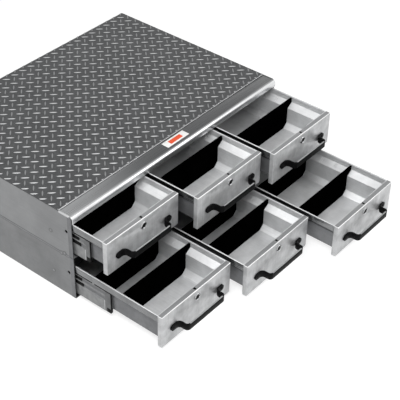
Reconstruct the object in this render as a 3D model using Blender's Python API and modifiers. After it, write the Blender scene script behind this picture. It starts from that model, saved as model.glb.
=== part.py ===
"""Low drawer unit in sheet aluminium: two rows of three drawers under a tread plate top.

Metres, +Z up. The origin is the middle of the cabinet's underside, X runs to the right seen from
the front, and Y runs from the drawer fronts to the back. At rest the drawers stand part way open.
"""

import math

import bmesh
import bpy
from mathutils import Matrix, Vector

# Cabinet
WIDTH = 0.914
DEPTH = 0.654
TRIM_TOP = 0.2937
SHEET = 0.002
FIT_GAP = 0.0003
FRONT_PLANE = -DEPTH / 2
SEAM_HEIGHT = 0.147
CASING_BEND = 0.0025
TOP_FLANGE = 0.012
TREAD_THICKNESS = 0.003
TREAD_INSET = 0.0015
TRIM_START = FRONT_PLANE - 0.0025
TRIM_END = FRONT_PLANE + 0.047
LIP_HEIGHT = 0.0225
LIP_RADIUS = 0.009
PARTITION_THICKNESS = 0.0086
PARTITION_SETBACK = 0.015
MID_RAIL_DROP = 0.0245
MID_RAIL_LEG = 0.0143
SILL_DEPTH = 0.012
SILL_HEIGHT = 0.0042
SIDE_HOLE_RADIUS = 0.0035
SIDE_HOLE_SETBACK = 0.0232
SIDE_HOLE_RISE = 0.0788
CASING_START = FRONT_PLANE + 0.0026
CASING_END = DEPTH / 2 - SHEET - FIT_GAP
CASING_TOP = TRIM_TOP - SHEET - FIT_GAP

# Places of the drawers
COLUMN_PITCH = 0.3062
ROW_PITCH = 0.1471
LOWER_FRONT_BASE = 0.0088
COLUMNS = {"left": -COLUMN_PITCH, "middle": 0.0, "right": COLUMN_PITCH}
ROWS = {"lower": LOWER_FRONT_BASE, "upper": LOWER_FRONT_BASE + ROW_PITCH}
DRAWER_OUT = {
    "upper_left": 0.1218,
    "upper_middle": 0.1803,
    "upper_right": 0.2159,
    "lower_left": 0.3132,
    "lower_middle": 0.3619,
    "lower_right": 0.4572,
}
CARRIAGE_OUT = {
    "upper_left": 0.0584,
    "upper_middle": 0.0781,
    "upper_right": 0.0980,
    "lower_left": 0.1220,
    "lower_middle": 0.1560,
    "lower_right": 0.2086,
}

# Drawer front
FRONT_WIDTH = 0.292
FRONT_HEIGHT = 0.1095
FRONT_DEPTH = 0.0145
FRONT_RADIUS = 0.0025
HALF_FRONT = FRONT_WIDTH / 2

# Tray: insets are measured inwards from the side of the front, rises from its bottom edge
TRAY_START = FRONT_DEPTH + FIT_GAP
TRAY_END = 0.630
BEND_RADIUS = 0.0023
BAND_RISE = 0.0855
RIM_INSET = 0.005
RIM_WALL_RISE = 0.0907
WALL_INSET = 0.025
SLOPE_RISE = 0.077
CHAMFER_RISE = 0.0245
FLOOR_INSET = 0.0404
FLOOR_RISE = 0.0085
SKIN_INSET = 0.0164
SKIN_THICKNESS = 0.0015
SKIN_RISE = 0.0145
SKIN_TOP = 0.0812
END_WALL_TOP = FRONT_HEIGHT - 0.0005
WELD_OVERLAP = 0.001

# Dividers
DIVIDER_THICKNESS = 0.003
DIVIDER_CLEARANCE = 0.0004
DIVIDER_TOP = 0.1085
DIVIDER_RADIUS = 0.006
FRONT_DIVIDER_SETBACK = 0.141
REAR_DIVIDER_SETBACKS = {"lower_left": 0.2435, "lower_middle": 0.2435, "lower_right": 0.295}

# Slides: on each side of a drawer a fixed channel, a floating channel in it, and a flat runner
SLIDE_RISE = 0.0412
SLIDE_LENGTH = 0.600
SLIDE_SHEET = 0.002
RAIL_START = 0.030
RAIL_LENGTH = 0.590
RAIL_HEIGHT = 0.080
RAIL_INSETS = (-0.0033, 0.0104)
CARRIAGE_HEIGHT = 0.0735
CARRIAGE_INSETS = (0.0040, 0.0154)
RUNNER_START = 0.018
RUNNER_RISES = (0.0183, 0.0709)
RUNNER_INSETS = (0.0134, 0.0169)

# Handle, a bent flat bar
HANDLE_RISE = 0.0472
HANDLE_HEIGHT = 0.021
HANDLE_THICKNESS = 0.0045
HANDLE_REACH = 0.036
HANDLE_HALF_SPAN = 0.1125
HANDLE_ARM = 0.079
HANDLE_ROOT_RADIUS = 0.012
HANDLE_CORNER_RADIUS = 0.009
HANDLE_STEPS = 6
TIP_TURNS = (20, 45, 70)
TIP_BLUNTNESS = 0.15

# Cam lock
LOCK_RISE = FRONT_HEIGHT - 0.0248
LOCK_FACE_RADIUS = 0.0115
LOCK_FACE_HEIGHT = 0.002
LOCK_BODY_RADIUS = 0.0095
LOCK_BODY_END = 0.0142
LOCK_BORE_RADIUS = 0.0063
PLUG_RADIUS = 0.006
PLUG_RECESS = 0.0008
KEYWAY = (0.0016, 0.003, 0.008)
CAM_START = 0.015
CAM_THICKNESS = 0.0025
CAM_REACH = 0.038
CAM_HALF_WIDTH = 0.0065
CAM_SCREW_RADIUS = 0.004
CAM_SCREW_HEIGHT = 0.0015
ROUND_STEPS = 20
LOCK_NOTCH_WIDTH = 0.014
LOCK_NOTCH_START = 0.0045
CAM_WINDOW = (-0.010, 0.0405)
CAM_WINDOW_RISE = LOCK_RISE - 0.010

ALUMINIUM = (0.55, 0.56, 0.57)
DARK_ALUMINIUM = (0.28, 0.29, 0.30)
ZINC = (0.48, 0.49, 0.50)
BLACK = (0.012, 0.012, 0.013)


def clear_scene():
    for item in list(bpy.data.objects):
        bpy.data.objects.remove(item, do_unlink=True)


def new_collection(name):
    collection = bpy.data.collections.new(name)
    bpy.context.scene.collection.children.link(collection)
    return collection


def new_material(name, colour, roughness, metallic):
    material = bpy.data.materials.new(name)
    material.use_nodes = True
    shader = material.node_tree.nodes["Principled BSDF"]
    shader.inputs["Base Color"].default_value = (*colour, 1.0)
    shader.inputs["Roughness"].default_value = roughness
    shader.inputs["Metallic"].default_value = metallic
    material.diffuse_color = (*colour, 1.0)
    return material


def add_object(name, data, finish, parent=None, location=(0, 0, 0)):
    """Puts a sub-part in the collection with its own material, its round faces shaded smooth."""
    data.shade_smooth()
    data.set_sharp_from_angle(angle=math.radians(30))
    item = bpy.data.objects.new(name, data)
    PARTS.objects.link(item)
    colour, roughness, metallic = finish
    data.materials.append(new_material(name, colour, roughness, metallic))
    item.parent = parent
    item.location = location
    return item


def add_cutter(name, data, parent=None, location=(0, 0, 0)):
    item = bpy.data.objects.new(name, data)
    CUTTERS.objects.link(item)
    item.hide_render = True
    item.display_type = "WIRE"
    item.parent = parent
    item.location = location
    return item


def add_empty(name, parent=None, location=(0, 0, 0)):
    item = bpy.data.objects.new(name, None)
    PARTS.objects.link(item)
    item.parent = parent
    item.location = location
    return item


def mesh_from(name, builder):
    """Makes a mesh from what builder adds to an empty bmesh."""
    grid = bmesh.new()
    builder(grid)
    mesh = bpy.data.meshes.new(name)
    grid.to_mesh(mesh)
    grid.free()
    return mesh


def add_box(grid, low, high):
    """Adds a closed box between two corners."""
    middle = [(a + b) / 2 for a, b in zip(low, high)]
    size = [b - a for a, b in zip(low, high)]
    place = Matrix.Translation(middle) @ Matrix.Diagonal((*size, 1.0))
    bmesh.ops.create_cube(grid, size=1.0, matrix=place)


def box_mesh(name, low, high):
    return mesh_from(name, lambda grid: add_box(grid, low, high))


def cylinder_mesh(name, radius, start, end, axis, steps=ROUND_STEPS):
    """A closed cylinder along X or Y, from start to end."""
    turn = Matrix.Rotation(math.pi / 2, 4, "Y" if axis == "X" else "X")
    direction = Vector((1, 0, 0)) if axis == "X" else Vector((0, 1, 0))
    place = Matrix.Translation(direction * (start + end) / 2) @ turn

    def build(grid):
        bmesh.ops.create_cone(
            grid, cap_ends=True, segments=steps, radius1=radius, radius2=radius,
            depth=end - start, matrix=place)

    return mesh_from(name, build)


def rounded_path(corners, radius, steps):
    """Replaces each inner corner of an open path by an arc."""
    points = [Vector(corners[0])]
    for before, corner, after in zip(corners, corners[1:], corners[2:]):
        corner = Vector(corner)
        inwards = (Vector(before) - corner).normalized()
        onwards = (Vector(after) - corner).normalized()
        half = inwards.angle(onwards) / 2
        reach = radius / math.tan(half)
        centre = corner + (inwards + onwards).normalized() * radius / math.sin(half)
        first = corner + inwards * reach - centre
        last = corner + onwards * reach - centre
        sweep = first.angle_signed(last)
        for step in range(steps + 1):
            turn = Matrix.Rotation(-sweep * step / steps, 2)
            points.append(centre + turn @ first)
    points.append(Vector(corners[-1]))
    return points


def offset_path(corners, distance):
    """Moves an open path sideways, to the right of its direction, with mitred corners."""
    normals = []
    for start, end in zip(corners, corners[1:]):
        along = (Vector(end) - Vector(start)).normalized()
        normals.append(Vector((along.y, -along.x)))
    moved = [Vector(corners[0]) + normals[0] * distance]
    for corner, left, right in zip(corners[1:-1], normals, normals[1:]):
        mitre = (left + right).normalized()
        moved.append(Vector(corner) + mitre * distance / mitre.dot(right))
    moved.append(Vector(corners[-1]) + normals[-1] * distance)
    return moved


def add_strip(grid, path, place, start, end):
    """Adds an open strip: a path in a plane, drawn out from start to end."""
    rows = [[grid.verts.new(place(point, at)) for point in path] for at in (start, end)]
    for index in range(len(path) - 1):
        near, far = rows
        grid.faces.new((near[index], near[index + 1], far[index + 1], far[index]))


def along_y(point, at):
    return (point[0], at, point[1])


def along_x(point, at):
    return (at, point[0], point[1])


def along_z(point, at):
    return (point[0], point[1], at)


def fold(item, thickness, side):
    """Gives an open strip its thickness: side 1 or -1 puts it on one side, and 0 on both."""
    solid = item.modifiers.new("thickness", "SOLIDIFY")
    solid.thickness = thickness
    solid.offset = side
    solid.use_even_offset = True


def boolean(item, other, operation):
    change = item.modifiers.new(other.name, "BOOLEAN")
    change.operation = operation
    change.solver = "EXACT"
    change.object = other


def plate_curve(name, outline, thickness):
    """A flat plate from its outline in X and Z, half its thickness to each side."""
    curve = bpy.data.curves.new(name, "CURVE")
    curve.dimensions = "2D"
    curve.fill_mode = "BOTH"
    curve.extrude = thickness / 2
    spline = curve.splines.new("POLY")
    spline.points.add(len(outline) - 1)
    for point, place in zip(spline.points, outline):
        point.co = (place[0], place[1], 0.0, 1.0)
    spline.use_cyclic_u = True
    return curve


def plate_mesh(name, outline, start, end):
    """The same plate as a mesh, between two depths along Y."""
    curve = plate_curve(name, outline, end - start)
    guide = bpy.data.objects.new(name, curve)
    CUTTERS.objects.link(guide)
    graph = bpy.context.evaluated_depsgraph_get()
    mesh = bpy.data.meshes.new_from_object(guide.evaluated_get(graph))
    bpy.data.objects.remove(guide)
    grid = bmesh.new()
    grid.from_mesh(mesh)
    bmesh.ops.remove_doubles(grid, verts=grid.verts, dist=0.00001)
    upright = Matrix.Translation((0, (start + end) / 2, 0)) @ Matrix.Rotation(math.pi / 2, 4, "X")
    bmesh.ops.transform(grid, matrix=upright, verts=grid.verts)
    bmesh.ops.recalc_face_normals(grid, faces=grid.faces)
    grid.to_mesh(mesh)
    grid.free()
    return mesh


def make_shell(name, bottom, top, row, flange=0.0):
    """One half of the casing: floor, sides and any top flanges folded from one sheet, with slide rails."""
    half = WIDTH / 2
    corners = [(-half, top), (-half, bottom), (half, bottom), (half, top)]
    if flange:
        corners = [(flange - half, top), *corners, (half - flange, top)]
    path = rounded_path(corners, CASING_BEND, 3)
    mesh = mesh_from(name, lambda grid: add_strip(grid, path, along_y, CASING_START, CASING_END))
    shell = add_object(name, mesh, (ALUMINIUM, 0.35, 1.0))
    fold(shell, SHEET, 1)
    for index, end_sign in enumerate((-1, 1)):
        place = (0, end_sign * (DEPTH / 2 - SIDE_HOLE_SETBACK), ROWS[row] + SIDE_HOLE_RISE)
        drill = cylinder_mesh("drill", SIDE_HOLE_RADIUS, -half - SHEET, half + SHEET, "X", 12)
        boolean(shell, add_cutter(f"{name}_drill_{index}", drill, None, place), "DIFFERENCE")
    weld_rails(shell, [(-COLUMN_PITCH, -1, ROWS[row]), (COLUMN_PITCH, 1, ROWS[row])])
    return shell


def cut_partition_slots(shell):
    """Slots in the upper floor that the partitions pass through."""
    half = PARTITION_THICKNESS / 2 + FIT_GAP
    start = FRONT_PLANE + PARTITION_SETBACK - FIT_GAP

    def build(grid):
        for middle in (-COLUMN_PITCH / 2, COLUMN_PITCH / 2):
            low = (middle - half, start, SEAM_HEIGHT - SHEET)
            add_box(grid, low, (middle + half, DEPTH / 2, SEAM_HEIGHT + 2 * SHEET))

    slots = add_cutter("partition_slots", mesh_from("partition_slots", build))
    boolean(shell, slots, "DIFFERENCE")


def notch_for_trim(shell):
    """Takes the front corners off the top flanges, to leave room for the strip's bend."""
    low = (-WIDTH, FRONT_PLANE, CASING_TOP - SHEET - FIT_GAP)
    high = (WIDTH, TRIM_START + LIP_RADIUS + FIT_GAP, TRIM_TOP)
    boolean(shell, add_cutter("trim_notch", box_mesh("trim_notch", low, high)), "DIFFERENCE")


def make_back_panel():
    low = (-WIDTH / 2, DEPTH / 2 - SHEET, 0)
    mesh = box_mesh("back_panel", low, (WIDTH / 2, DEPTH / 2, CASING_TOP))
    add_object("back_panel", mesh, (ALUMINIUM, 0.4, 1.0))


def make_tread_plate():
    half = WIDTH / 2 - TREAD_INSET
    base = CASING_TOP + FIT_GAP
    low = (-half, TRIM_END + FIT_GAP, base)
    mesh = box_mesh("tread_plate", low, (half, DEPTH / 2, base + TREAD_THICKNESS))
    add_object("tread_plate", mesh, (DARK_ALUMINIUM, 0.35, 1.0))


def make_front_trim():
    """The smooth strip on the top's front edge, rolled over into a lip above the drawers."""
    corners = [(TRIM_END, TRIM_TOP), (TRIM_START, TRIM_TOP), (TRIM_START, TRIM_TOP - LIP_HEIGHT)]
    path = rounded_path(corners, LIP_RADIUS, 6)
    mesh = mesh_from("front_trim", lambda grid: add_strip(grid, path, along_x, -WIDTH / 2, WIDTH / 2))
    fold(add_object("front_trim", mesh, (ALUMINIUM, 0.3, 1.0)), SHEET, -1)


def make_partition(name, middle):
    """An upright wall between two columns: a sheet folded double with a closed nose, and slide rails."""
    half = PARTITION_THICKNESS / 2
    nose = FRONT_PLANE + PARTITION_SETBACK
    right = middle + half
    left = middle - half
    path = [(right, CASING_END), (right, nose), (left, nose), (left, CASING_END)]
    mesh = mesh_from(name, lambda grid: add_strip(grid, path, along_z, SHEET + FIT_GAP, CASING_TOP))
    partition = add_object(name, mesh, (ALUMINIUM, 0.4, 1.0))
    fold(partition, SHEET, 1)
    places = []
    for base in ROWS.values():
        places.append((middle - COLUMN_PITCH / 2, 1, base))
        places.append((middle + COLUMN_PITCH / 2, -1, base))
    weld_rails(partition, places)


def make_mid_rail():
    """A dark angle under the front edge of the middle floor, where the lower locks catch."""
    top = SEAM_HEIGHT - FIT_GAP
    half = WIDTH / 2 - SHEET - FIT_GAP
    corners = [(FRONT_PLANE, top - MID_RAIL_DROP), (FRONT_PLANE, top), (FRONT_PLANE + MID_RAIL_LEG, top)]
    mesh = mesh_from("mid_rail", lambda grid: add_strip(grid, corners, along_x, -half, half))
    fold(add_object("mid_rail", mesh, (BLACK, 0.5, 0.0)), SHEET, 1)


def make_sill():
    """A dark rubber strip on the front edge of the bottom, under the lower drawers."""
    half = WIDTH / 2 - SHEET - FIT_GAP
    low = (-half, CASING_START, SHEET + FIT_GAP)
    high = (half, low[1] + SILL_DEPTH, low[2] + SILL_HEIGHT)
    add_object("sill_strip", box_mesh("sill_strip", low, high), (BLACK, 0.7, 0.0))


def add_channel(grid, place, insets, height, start, length):
    """Adds one slide member: a channel whose web is at the first inset and its lips at the second."""
    middle, side, base = place
    web = middle + side * (HALF_FRONT - insets[0])
    lip = middle + side * (HALF_FRONT - insets[1])
    low = base + SLIDE_RISE - height / 2
    high = base + SLIDE_RISE + height / 2
    path = [(lip, high), (web, high), (web, low), (lip, low)]
    if web > lip:
        path.reverse()
    add_strip(grid, path, along_y, start, start + length)


def weld_rails(wall, places):
    """Joins the fixed slide members to a wall, one for each column's middle, side and row's base."""

    def build(grid):
        for place in places:
            add_channel(grid, place, RAIL_INSETS, RAIL_HEIGHT, FRONT_PLANE + RAIL_START, RAIL_LENGTH)

    rails = add_cutter(f"{wall.name}_rails", mesh_from("rails", build))
    fold(rails, SLIDE_SHEET, 1)
    boolean(wall, rails, "UNION")


def tray_profile():
    """The inner surface of half a tray, from the middle of its floor up to the folded rim and its band."""
    return [
        (0.0, FLOOR_RISE),
        (HALF_FRONT - FLOOR_INSET, FLOOR_RISE),
        (HALF_FRONT - WALL_INSET, CHAMFER_RISE),
        (HALF_FRONT - WALL_INSET, SLOPE_RISE),
        (HALF_FRONT - RIM_INSET, RIM_WALL_RISE),
        (HALF_FRONT - RIM_INSET, FRONT_HEIGHT),
        (HALF_FRONT, FRONT_HEIGHT),
        (HALF_FRONT, BAND_RISE),
    ]


def inside_outline(clearance, top, corner_radius=0.0):
    """A plate's outline that fits the tray's inside, or runs into its walls if clearance is negative."""
    half = offset_path(tray_profile()[:6], -clearance)
    half[5].y = top
    if corner_radius:
        half[4:] = rounded_path([half[4], half[5], (0.0, top)], corner_radius, 3)[:-1]
    right = half[1:]
    left = [Vector((-point.x, point.y)) for point in reversed(right)]
    return left + right


def make_tray(name, drawer):
    """The tray: a liner with a ledge under its rim, end walls, outer skins and slide runners, welded."""
    profile = tray_profile()
    corners = [Vector((-x, z)) for x, z in reversed(profile[1:])] + [Vector(point) for point in profile[1:]]
    path = rounded_path(corners, BEND_RADIUS, 2)
    mesh = mesh_from(name, lambda grid: add_strip(grid, path, along_y, TRAY_START, TRAY_END))
    tray = add_object(name, mesh, (ALUMINIUM, 0.35, 1.0), drawer)
    fold(tray, SHEET, -1)
    outline = inside_outline(-WELD_OVERLAP, END_WALL_TOP)
    for end, start in (("front", TRAY_START + FIT_GAP), ("back", TRAY_END - SHEET - FIT_GAP)):
        wall = plate_mesh(f"{end}_wall", outline, start, start + SHEET)
        boolean(tray, add_cutter(f"{name}_{end}_wall", wall, drawer), "UNION")
    for side in (-1, 1):
        outer = side * (HALF_FRONT - SKIN_INSET)
        inner = outer - side * SKIN_THICKNESS
        low = (min(outer, inner), TRAY_START + FIT_GAP, SKIN_RISE)
        high = (max(outer, inner), TRAY_END - FIT_GAP, SKIN_TOP)
        skin = box_mesh("skin", low, high)
        boolean(tray, add_cutter(f"{name}_skin_{side + 1}", skin, drawer), "UNION")
    weld_runners(tray, drawer)
    low = (CAM_WINDOW[0], TRAY_START - WELD_OVERLAP, CAM_WINDOW_RISE)
    high = (CAM_WINDOW[1], TRAY_START + SHEET + WELD_OVERLAP, FRONT_HEIGHT + WELD_OVERLAP)
    window = box_mesh("window", low, high)
    boolean(tray, add_cutter(f"{name}_window", window, drawer), "DIFFERENCE")


def weld_runners(tray, drawer):
    """Joins a flat runner bar to each of the tray's outer skins, where the floating member rides."""

    def build(grid):
        for side in (-1, 1):
            ends = sorted(side * (HALF_FRONT - inset) for inset in RUNNER_INSETS)
            low = (ends[0], RUNNER_START, RUNNER_RISES[0])
            high = (ends[1], RUNNER_START + SLIDE_LENGTH, RUNNER_RISES[1])
            add_box(grid, low, high)

    boolean(tray, add_cutter(f"{tray.name}_runners", mesh_from("runners", build), drawer), "UNION")


def make_front(name, drawer):
    """The drawer front: a shallow pan with rounded edges, a lock hole and a notch over the lock."""

    def build(grid):
        add_box(grid, (-HALF_FRONT, 0, 0), (HALF_FRONT, FRONT_DEPTH, FRONT_HEIGHT))
        back = [face for face in grid.faces if face.normal.y > 0.5]
        bmesh.ops.delete(grid, geom=back, context="FACES_ONLY")

    front = add_object(name, mesh_from(name, build), (ALUMINIUM, 0.3, 1.0), drawer)
    edges = front.modifiers.new("rounded_edges", "BEVEL")
    edges.width = FRONT_RADIUS
    edges.segments = 2
    edges.limit_method = "ANGLE"
    fold(front, SHEET, -1)
    hole = cylinder_mesh("lock_hole", LOCK_BODY_RADIUS + FIT_GAP, -SHEET, 2 * SHEET, "Y")
    boolean(front, add_cutter(f"{name}_lock_hole", hole, drawer, (0, 0, LOCK_RISE)), "DIFFERENCE")
    half = LOCK_NOTCH_WIDTH / 2
    low = (-half, LOCK_NOTCH_START, FRONT_HEIGHT - 2 * SHEET)
    high = (half, FRONT_DEPTH * 2, FRONT_HEIGHT + SHEET)
    notch = box_mesh("notch", low, high)
    boolean(front, add_cutter(f"{name}_notch", notch, drawer), "DIFFERENCE")


def handle_path():
    """The middle line of the flat bar, seen from above: foot, arm, grip, arm and foot."""
    foot = -FIT_GAP - HANDLE_THICKNESS / 2
    grip = -HANDLE_REACH + HANDLE_THICKNESS / 2
    tip = HANDLE_HALF_SPAN
    midway = (-HANDLE_ARM, grip / 2)
    root = rounded_path([(-tip, foot), (-HANDLE_ARM, foot), midway], HANDLE_ROOT_RADIUS, HANDLE_STEPS)
    bend = rounded_path([midway, (-HANDLE_ARM, grip), (0, grip)], HANDLE_CORNER_RADIUS, HANDLE_STEPS)
    radius = HANDLE_HEIGHT / 2
    tips = [Vector((-tip + radius * (1 - math.cos(math.radians(turn))), foot)) for turn in TIP_TURNS]
    left = [root[0], *tips, *root[1:-1], *bend[1:-1]]
    return left + [Vector((-point.x, point.y)) for point in reversed(left)]


def make_handle(name, drawer):
    """A bow handle: one flat bar on edge, bent twice at each end, with rounded feet."""
    radius = HANDLE_HEIGHT / 2

    def half_height(point):
        past = HANDLE_HALF_SPAN - abs(point.x)
        if past >= radius:
            return radius
        return max(math.sqrt(radius ** 2 - (radius - past) ** 2), radius * TIP_BLUNTNESS)

    def build(grid):
        rows = []
        for point in handle_path():
            half = half_height(point)
            rows.append([grid.verts.new((point.x, point.y, level)) for level in (-half, half)])
        for (low, high), (next_low, next_high) in zip(rows, rows[1:]):
            grid.faces.new((low, next_low, next_high, high))

    handle = add_object(name, mesh_from(name, build), (BLACK, 0.45, 0.0), drawer, (0, 0, HANDLE_RISE))
    fold(handle, HANDLE_THICKNESS, 0)


def make_divider(name, drawer, setback):
    """A loose plate across the tray, cut to its inner profile, its upper corners rounded."""
    outline = inside_outline(DIVIDER_CLEARANCE, DIVIDER_TOP, DIVIDER_RADIUS)
    mesh = plate_mesh(name, outline, setback, setback + DIVIDER_THICKNESS)
    add_object(name, mesh, (BLACK, 0.6, 0.0), drawer)


def make_carriage(name, carriage, side):
    """The floating slide member on one side of a drawer."""

    def build(grid):
        add_channel(grid, (0, side, 0), CARRIAGE_INSETS, CARRIAGE_HEIGHT, 0.0, SLIDE_LENGTH)

    fold(add_object(name, mesh_from(name, build), (ZINC, 0.35, 1.0), carriage), SLIDE_SHEET, 1)


def turned(name, profile, finish, parent):
    """A ring or disc turned about the Y axis from points of radius and depth."""

    def build(grid):
        points = [grid.verts.new((radius, depth, 0)) for radius, depth in profile]
        for index, point in enumerate(points):
            grid.edges.new((point, points[(index + 1) % len(points)]))

    item = add_object(name, mesh_from(name, build), finish, parent)
    screw = item.modifiers.new("turning", "SCREW")
    screw.axis = "Y"
    screw.steps = ROUND_STEPS
    screw.render_steps = ROUND_STEPS
    screw.use_merge_vertices = True
    screw.merge_threshold = 0.00001
    return item


def make_lock_case(name, lock):
    """The lock's fixed barrel, with a flange on the drawer front and a bore for the plug."""
    face = -LOCK_FACE_HEIGHT - FIT_GAP
    profile = [
        (LOCK_BORE_RADIUS, face),
        (LOCK_BORE_RADIUS, LOCK_BODY_END),
        (LOCK_BODY_RADIUS, LOCK_BODY_END),
        (LOCK_BODY_RADIUS, -FIT_GAP),
        (LOCK_FACE_RADIUS, -FIT_GAP),
        (LOCK_FACE_RADIUS, face + LOCK_FACE_HEIGHT / 2),
        (LOCK_FACE_RADIUS - LOCK_FACE_HEIGHT / 2, face),
    ]
    turned(name, profile, (ZINC, 0.2, 1.0), lock)


def make_lock_plug(name, lock):
    """The turning plug with its keyway, and the cam screwed to its inner end."""
    face = -LOCK_FACE_HEIGHT - FIT_GAP + PLUG_RECESS
    plug = add_object(
        name, cylinder_mesh(name, PLUG_RADIUS, face, CAM_START + WELD_OVERLAP, "Y"), (ZINC, 0.3, 1.0), lock)
    low = (-CAM_HALF_WIDTH, CAM_START, -CAM_HALF_WIDTH)
    high = (CAM_REACH, CAM_START + CAM_THICKNESS, CAM_HALF_WIDTH)
    boolean(plug, add_cutter(f"{name}_cam", box_mesh("cam", low, high), lock), "UNION")
    start = CAM_START + CAM_THICKNESS - WELD_OVERLAP
    screw = cylinder_mesh(
        "cam_screw", CAM_SCREW_RADIUS, start, start + WELD_OVERLAP + CAM_SCREW_HEIGHT, "Y", 12)
    boolean(plug, add_cutter(f"{name}_screw", screw, lock), "UNION")
    wide, deep, tall = KEYWAY
    key_cut = box_mesh("keyway", (-wide / 2, face - deep, -tall / 2), (wide / 2, face + deep, tall / 2))
    boolean(plug, add_cutter(f"{name}_keyway", key_cut, lock), "DIFFERENCE")


def make_drawer(place, middle, base):
    """One drawer with everything that moves with it, and its floating slide members."""
    drawer = add_empty(f"{place}_drawer", None, (middle, FRONT_PLANE - DRAWER_OUT[place], base))
    carriage = add_empty(f"{place}_carriage", None, (middle, FRONT_PLANE - CARRIAGE_OUT[place], base))
    lock = add_empty(f"{place}_lock", drawer, (0, 0, LOCK_RISE))
    make_tray(f"{place}_tray", drawer)
    make_front(f"{place}_front", drawer)
    make_handle(f"{place}_handle", drawer)
    make_divider(f"{place}_front_divider", drawer, FRONT_DIVIDER_SETBACK)
    if place in REAR_DIVIDER_SETBACKS:
        make_divider(f"{place}_rear_divider", drawer, REAR_DIVIDER_SETBACKS[place])
    make_carriage(f"{place}_carriage_left", carriage, -1)
    make_carriage(f"{place}_carriage_right", carriage, 1)
    make_lock_case(f"{place}_lock_case", lock)
    make_lock_plug(f"{place}_lock_plug", lock)


def make_cabinet():
    """Everything that stands still."""
    make_shell("lower_shell", 0.0, SEAM_HEIGHT - FIT_GAP, "lower")
    upper = make_shell("upper_shell", SEAM_HEIGHT, CASING_TOP, "upper", TOP_FLANGE)
    cut_partition_slots(upper)
    notch_for_trim(upper)
    make_back_panel()
    make_tread_plate()
    make_front_trim()
    make_partition("partition_left", -COLUMN_PITCH / 2)
    make_partition("partition_right", COLUMN_PITCH / 2)
    make_mid_rail()
    make_sill()


clear_scene()
PARTS = new_collection("vehicle_drawer_unit")
CUTTERS = new_collection("cutters")
make_cabinet()
for row, base in ROWS.items():
    for column, middle in COLUMNS.items():
        make_drawer(f"{row}_{column}", middle, base)
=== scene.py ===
"""Looks of a low drawer unit in sheet aluminium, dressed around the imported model.

Metres, +Z up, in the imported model's frame. The pieces of a drawer are made once, in a frame whose
origin is the middle of the front's bottom edge, and then placed on all six drawers.
"""

import math

import bmesh
import bpy
from mathutils import Matrix, Vector


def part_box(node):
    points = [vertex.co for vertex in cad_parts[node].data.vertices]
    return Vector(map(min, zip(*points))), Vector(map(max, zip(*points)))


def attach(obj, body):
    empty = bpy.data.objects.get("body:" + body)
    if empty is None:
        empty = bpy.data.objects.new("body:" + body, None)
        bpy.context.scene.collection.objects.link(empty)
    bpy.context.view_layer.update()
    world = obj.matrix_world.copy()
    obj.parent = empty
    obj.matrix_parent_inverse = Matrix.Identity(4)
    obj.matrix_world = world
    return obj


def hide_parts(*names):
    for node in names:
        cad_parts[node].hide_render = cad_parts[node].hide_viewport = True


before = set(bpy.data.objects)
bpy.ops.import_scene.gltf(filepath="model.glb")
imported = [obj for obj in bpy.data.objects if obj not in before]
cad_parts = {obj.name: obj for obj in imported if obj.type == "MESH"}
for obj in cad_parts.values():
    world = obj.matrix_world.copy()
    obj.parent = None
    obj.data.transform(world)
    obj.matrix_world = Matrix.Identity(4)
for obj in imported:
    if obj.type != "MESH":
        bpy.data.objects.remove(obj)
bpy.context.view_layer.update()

MM = 0.001

# Cabinet, from the frame
HALF_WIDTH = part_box("lower_shell")[1].x
FRONT_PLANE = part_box("mid_rail")[0].y
BACK_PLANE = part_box("back_panel")[1].y
TRIM_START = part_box("front_trim")[0].y
TRIM_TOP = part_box("front_trim")[1].z
TRIM_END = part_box("front_trim")[1].y
LIP_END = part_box("front_trim")[0].z
TREAD_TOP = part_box("tread_plate")[1].z
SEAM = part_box("upper_shell")[0].z

# Cabinet, its own sizes
SHEET = 2.0 * MM
LIP_RADIUS = 9.0 * MM
LEAD_RADIUS = 25.0 * MM
LEAD_TURN = 20
LEAD_STEP = 5
ROLL_STEP = 7
TRIM_END_GAP = 1.5 * MM
END_FLANGE = (3.0 * MM, 4.0 * MM)
END_FLANGE_SHEET = 0.6 * MM
BEAD_WIDTH = 3.6 * MM
BEAD_HEIGHT = 0.8 * MM
TOP_FLANGE = 12.0 * MM
SHELL_FOLD = 2.5 * MM
SIDE_HOLE_RADIUS = 5.4 * MM
SIDE_HOLE_SETBACK = 23.2 * MM
SIDE_HOLE_RISE = 78.8 * MM
HEM_DEPTH = 14.5 * MM
HEM_STEP = 0.35 * MM
SIDE_RIVETS = tuple((depth, rise) for depth in (84.6, 320.0, 560.0) for rise in (206.7, 61.1))
SEAM_RIVETS = ((47.5, 146.5), (35.5, 150.5), (600.0, 147.0))
RIVET_DOME = ((0.0, 0.0), (1.0, 0.0), (0.94, -0.45), (0.6, -1.0), (0.0, -1.0))
RIVET_RADIUS = 4.2 * MM
RIVET_HEIGHT = 0.45 * MM
WASHER_RADIUS = 7.0 * MM
SEAM_LINES = (("seam_shadow", 4.4 * MM, 0.1 * MM), ("seam_bead", 1.5 * MM, 0.35 * MM))
BACK_RIVET_PITCH = 101.0 * MM
BACK_RIVET_MARGIN = 14.0 * MM

# Raised lozenges of the tread plate, two directions on one square lattice
LOZENGE_PITCH = (35.1 * MM, 34.6 * MM)
LOZENGE_FIRST = (7.3 * MM, 46.5 * MM)
LOZENGE_LENGTH = 27.0 * MM
LOZENGE_WIDTH = 6.4 * MM
LOZENGE_HEIGHT = 1.35 * MM
LOZENGE_SINK = 0.2 * MM
LOZENGE_STEPS = 10
LOZENGE_SIDES = (-1.0, -0.72, -0.36, 0.0, 0.36, 0.72, 1.0)
LOZENGE_BLUNTNESS = 0.75
CREST_FADE = (4, 0.6)
CREST_ROUND = 2.2
SINK_START = 8

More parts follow.
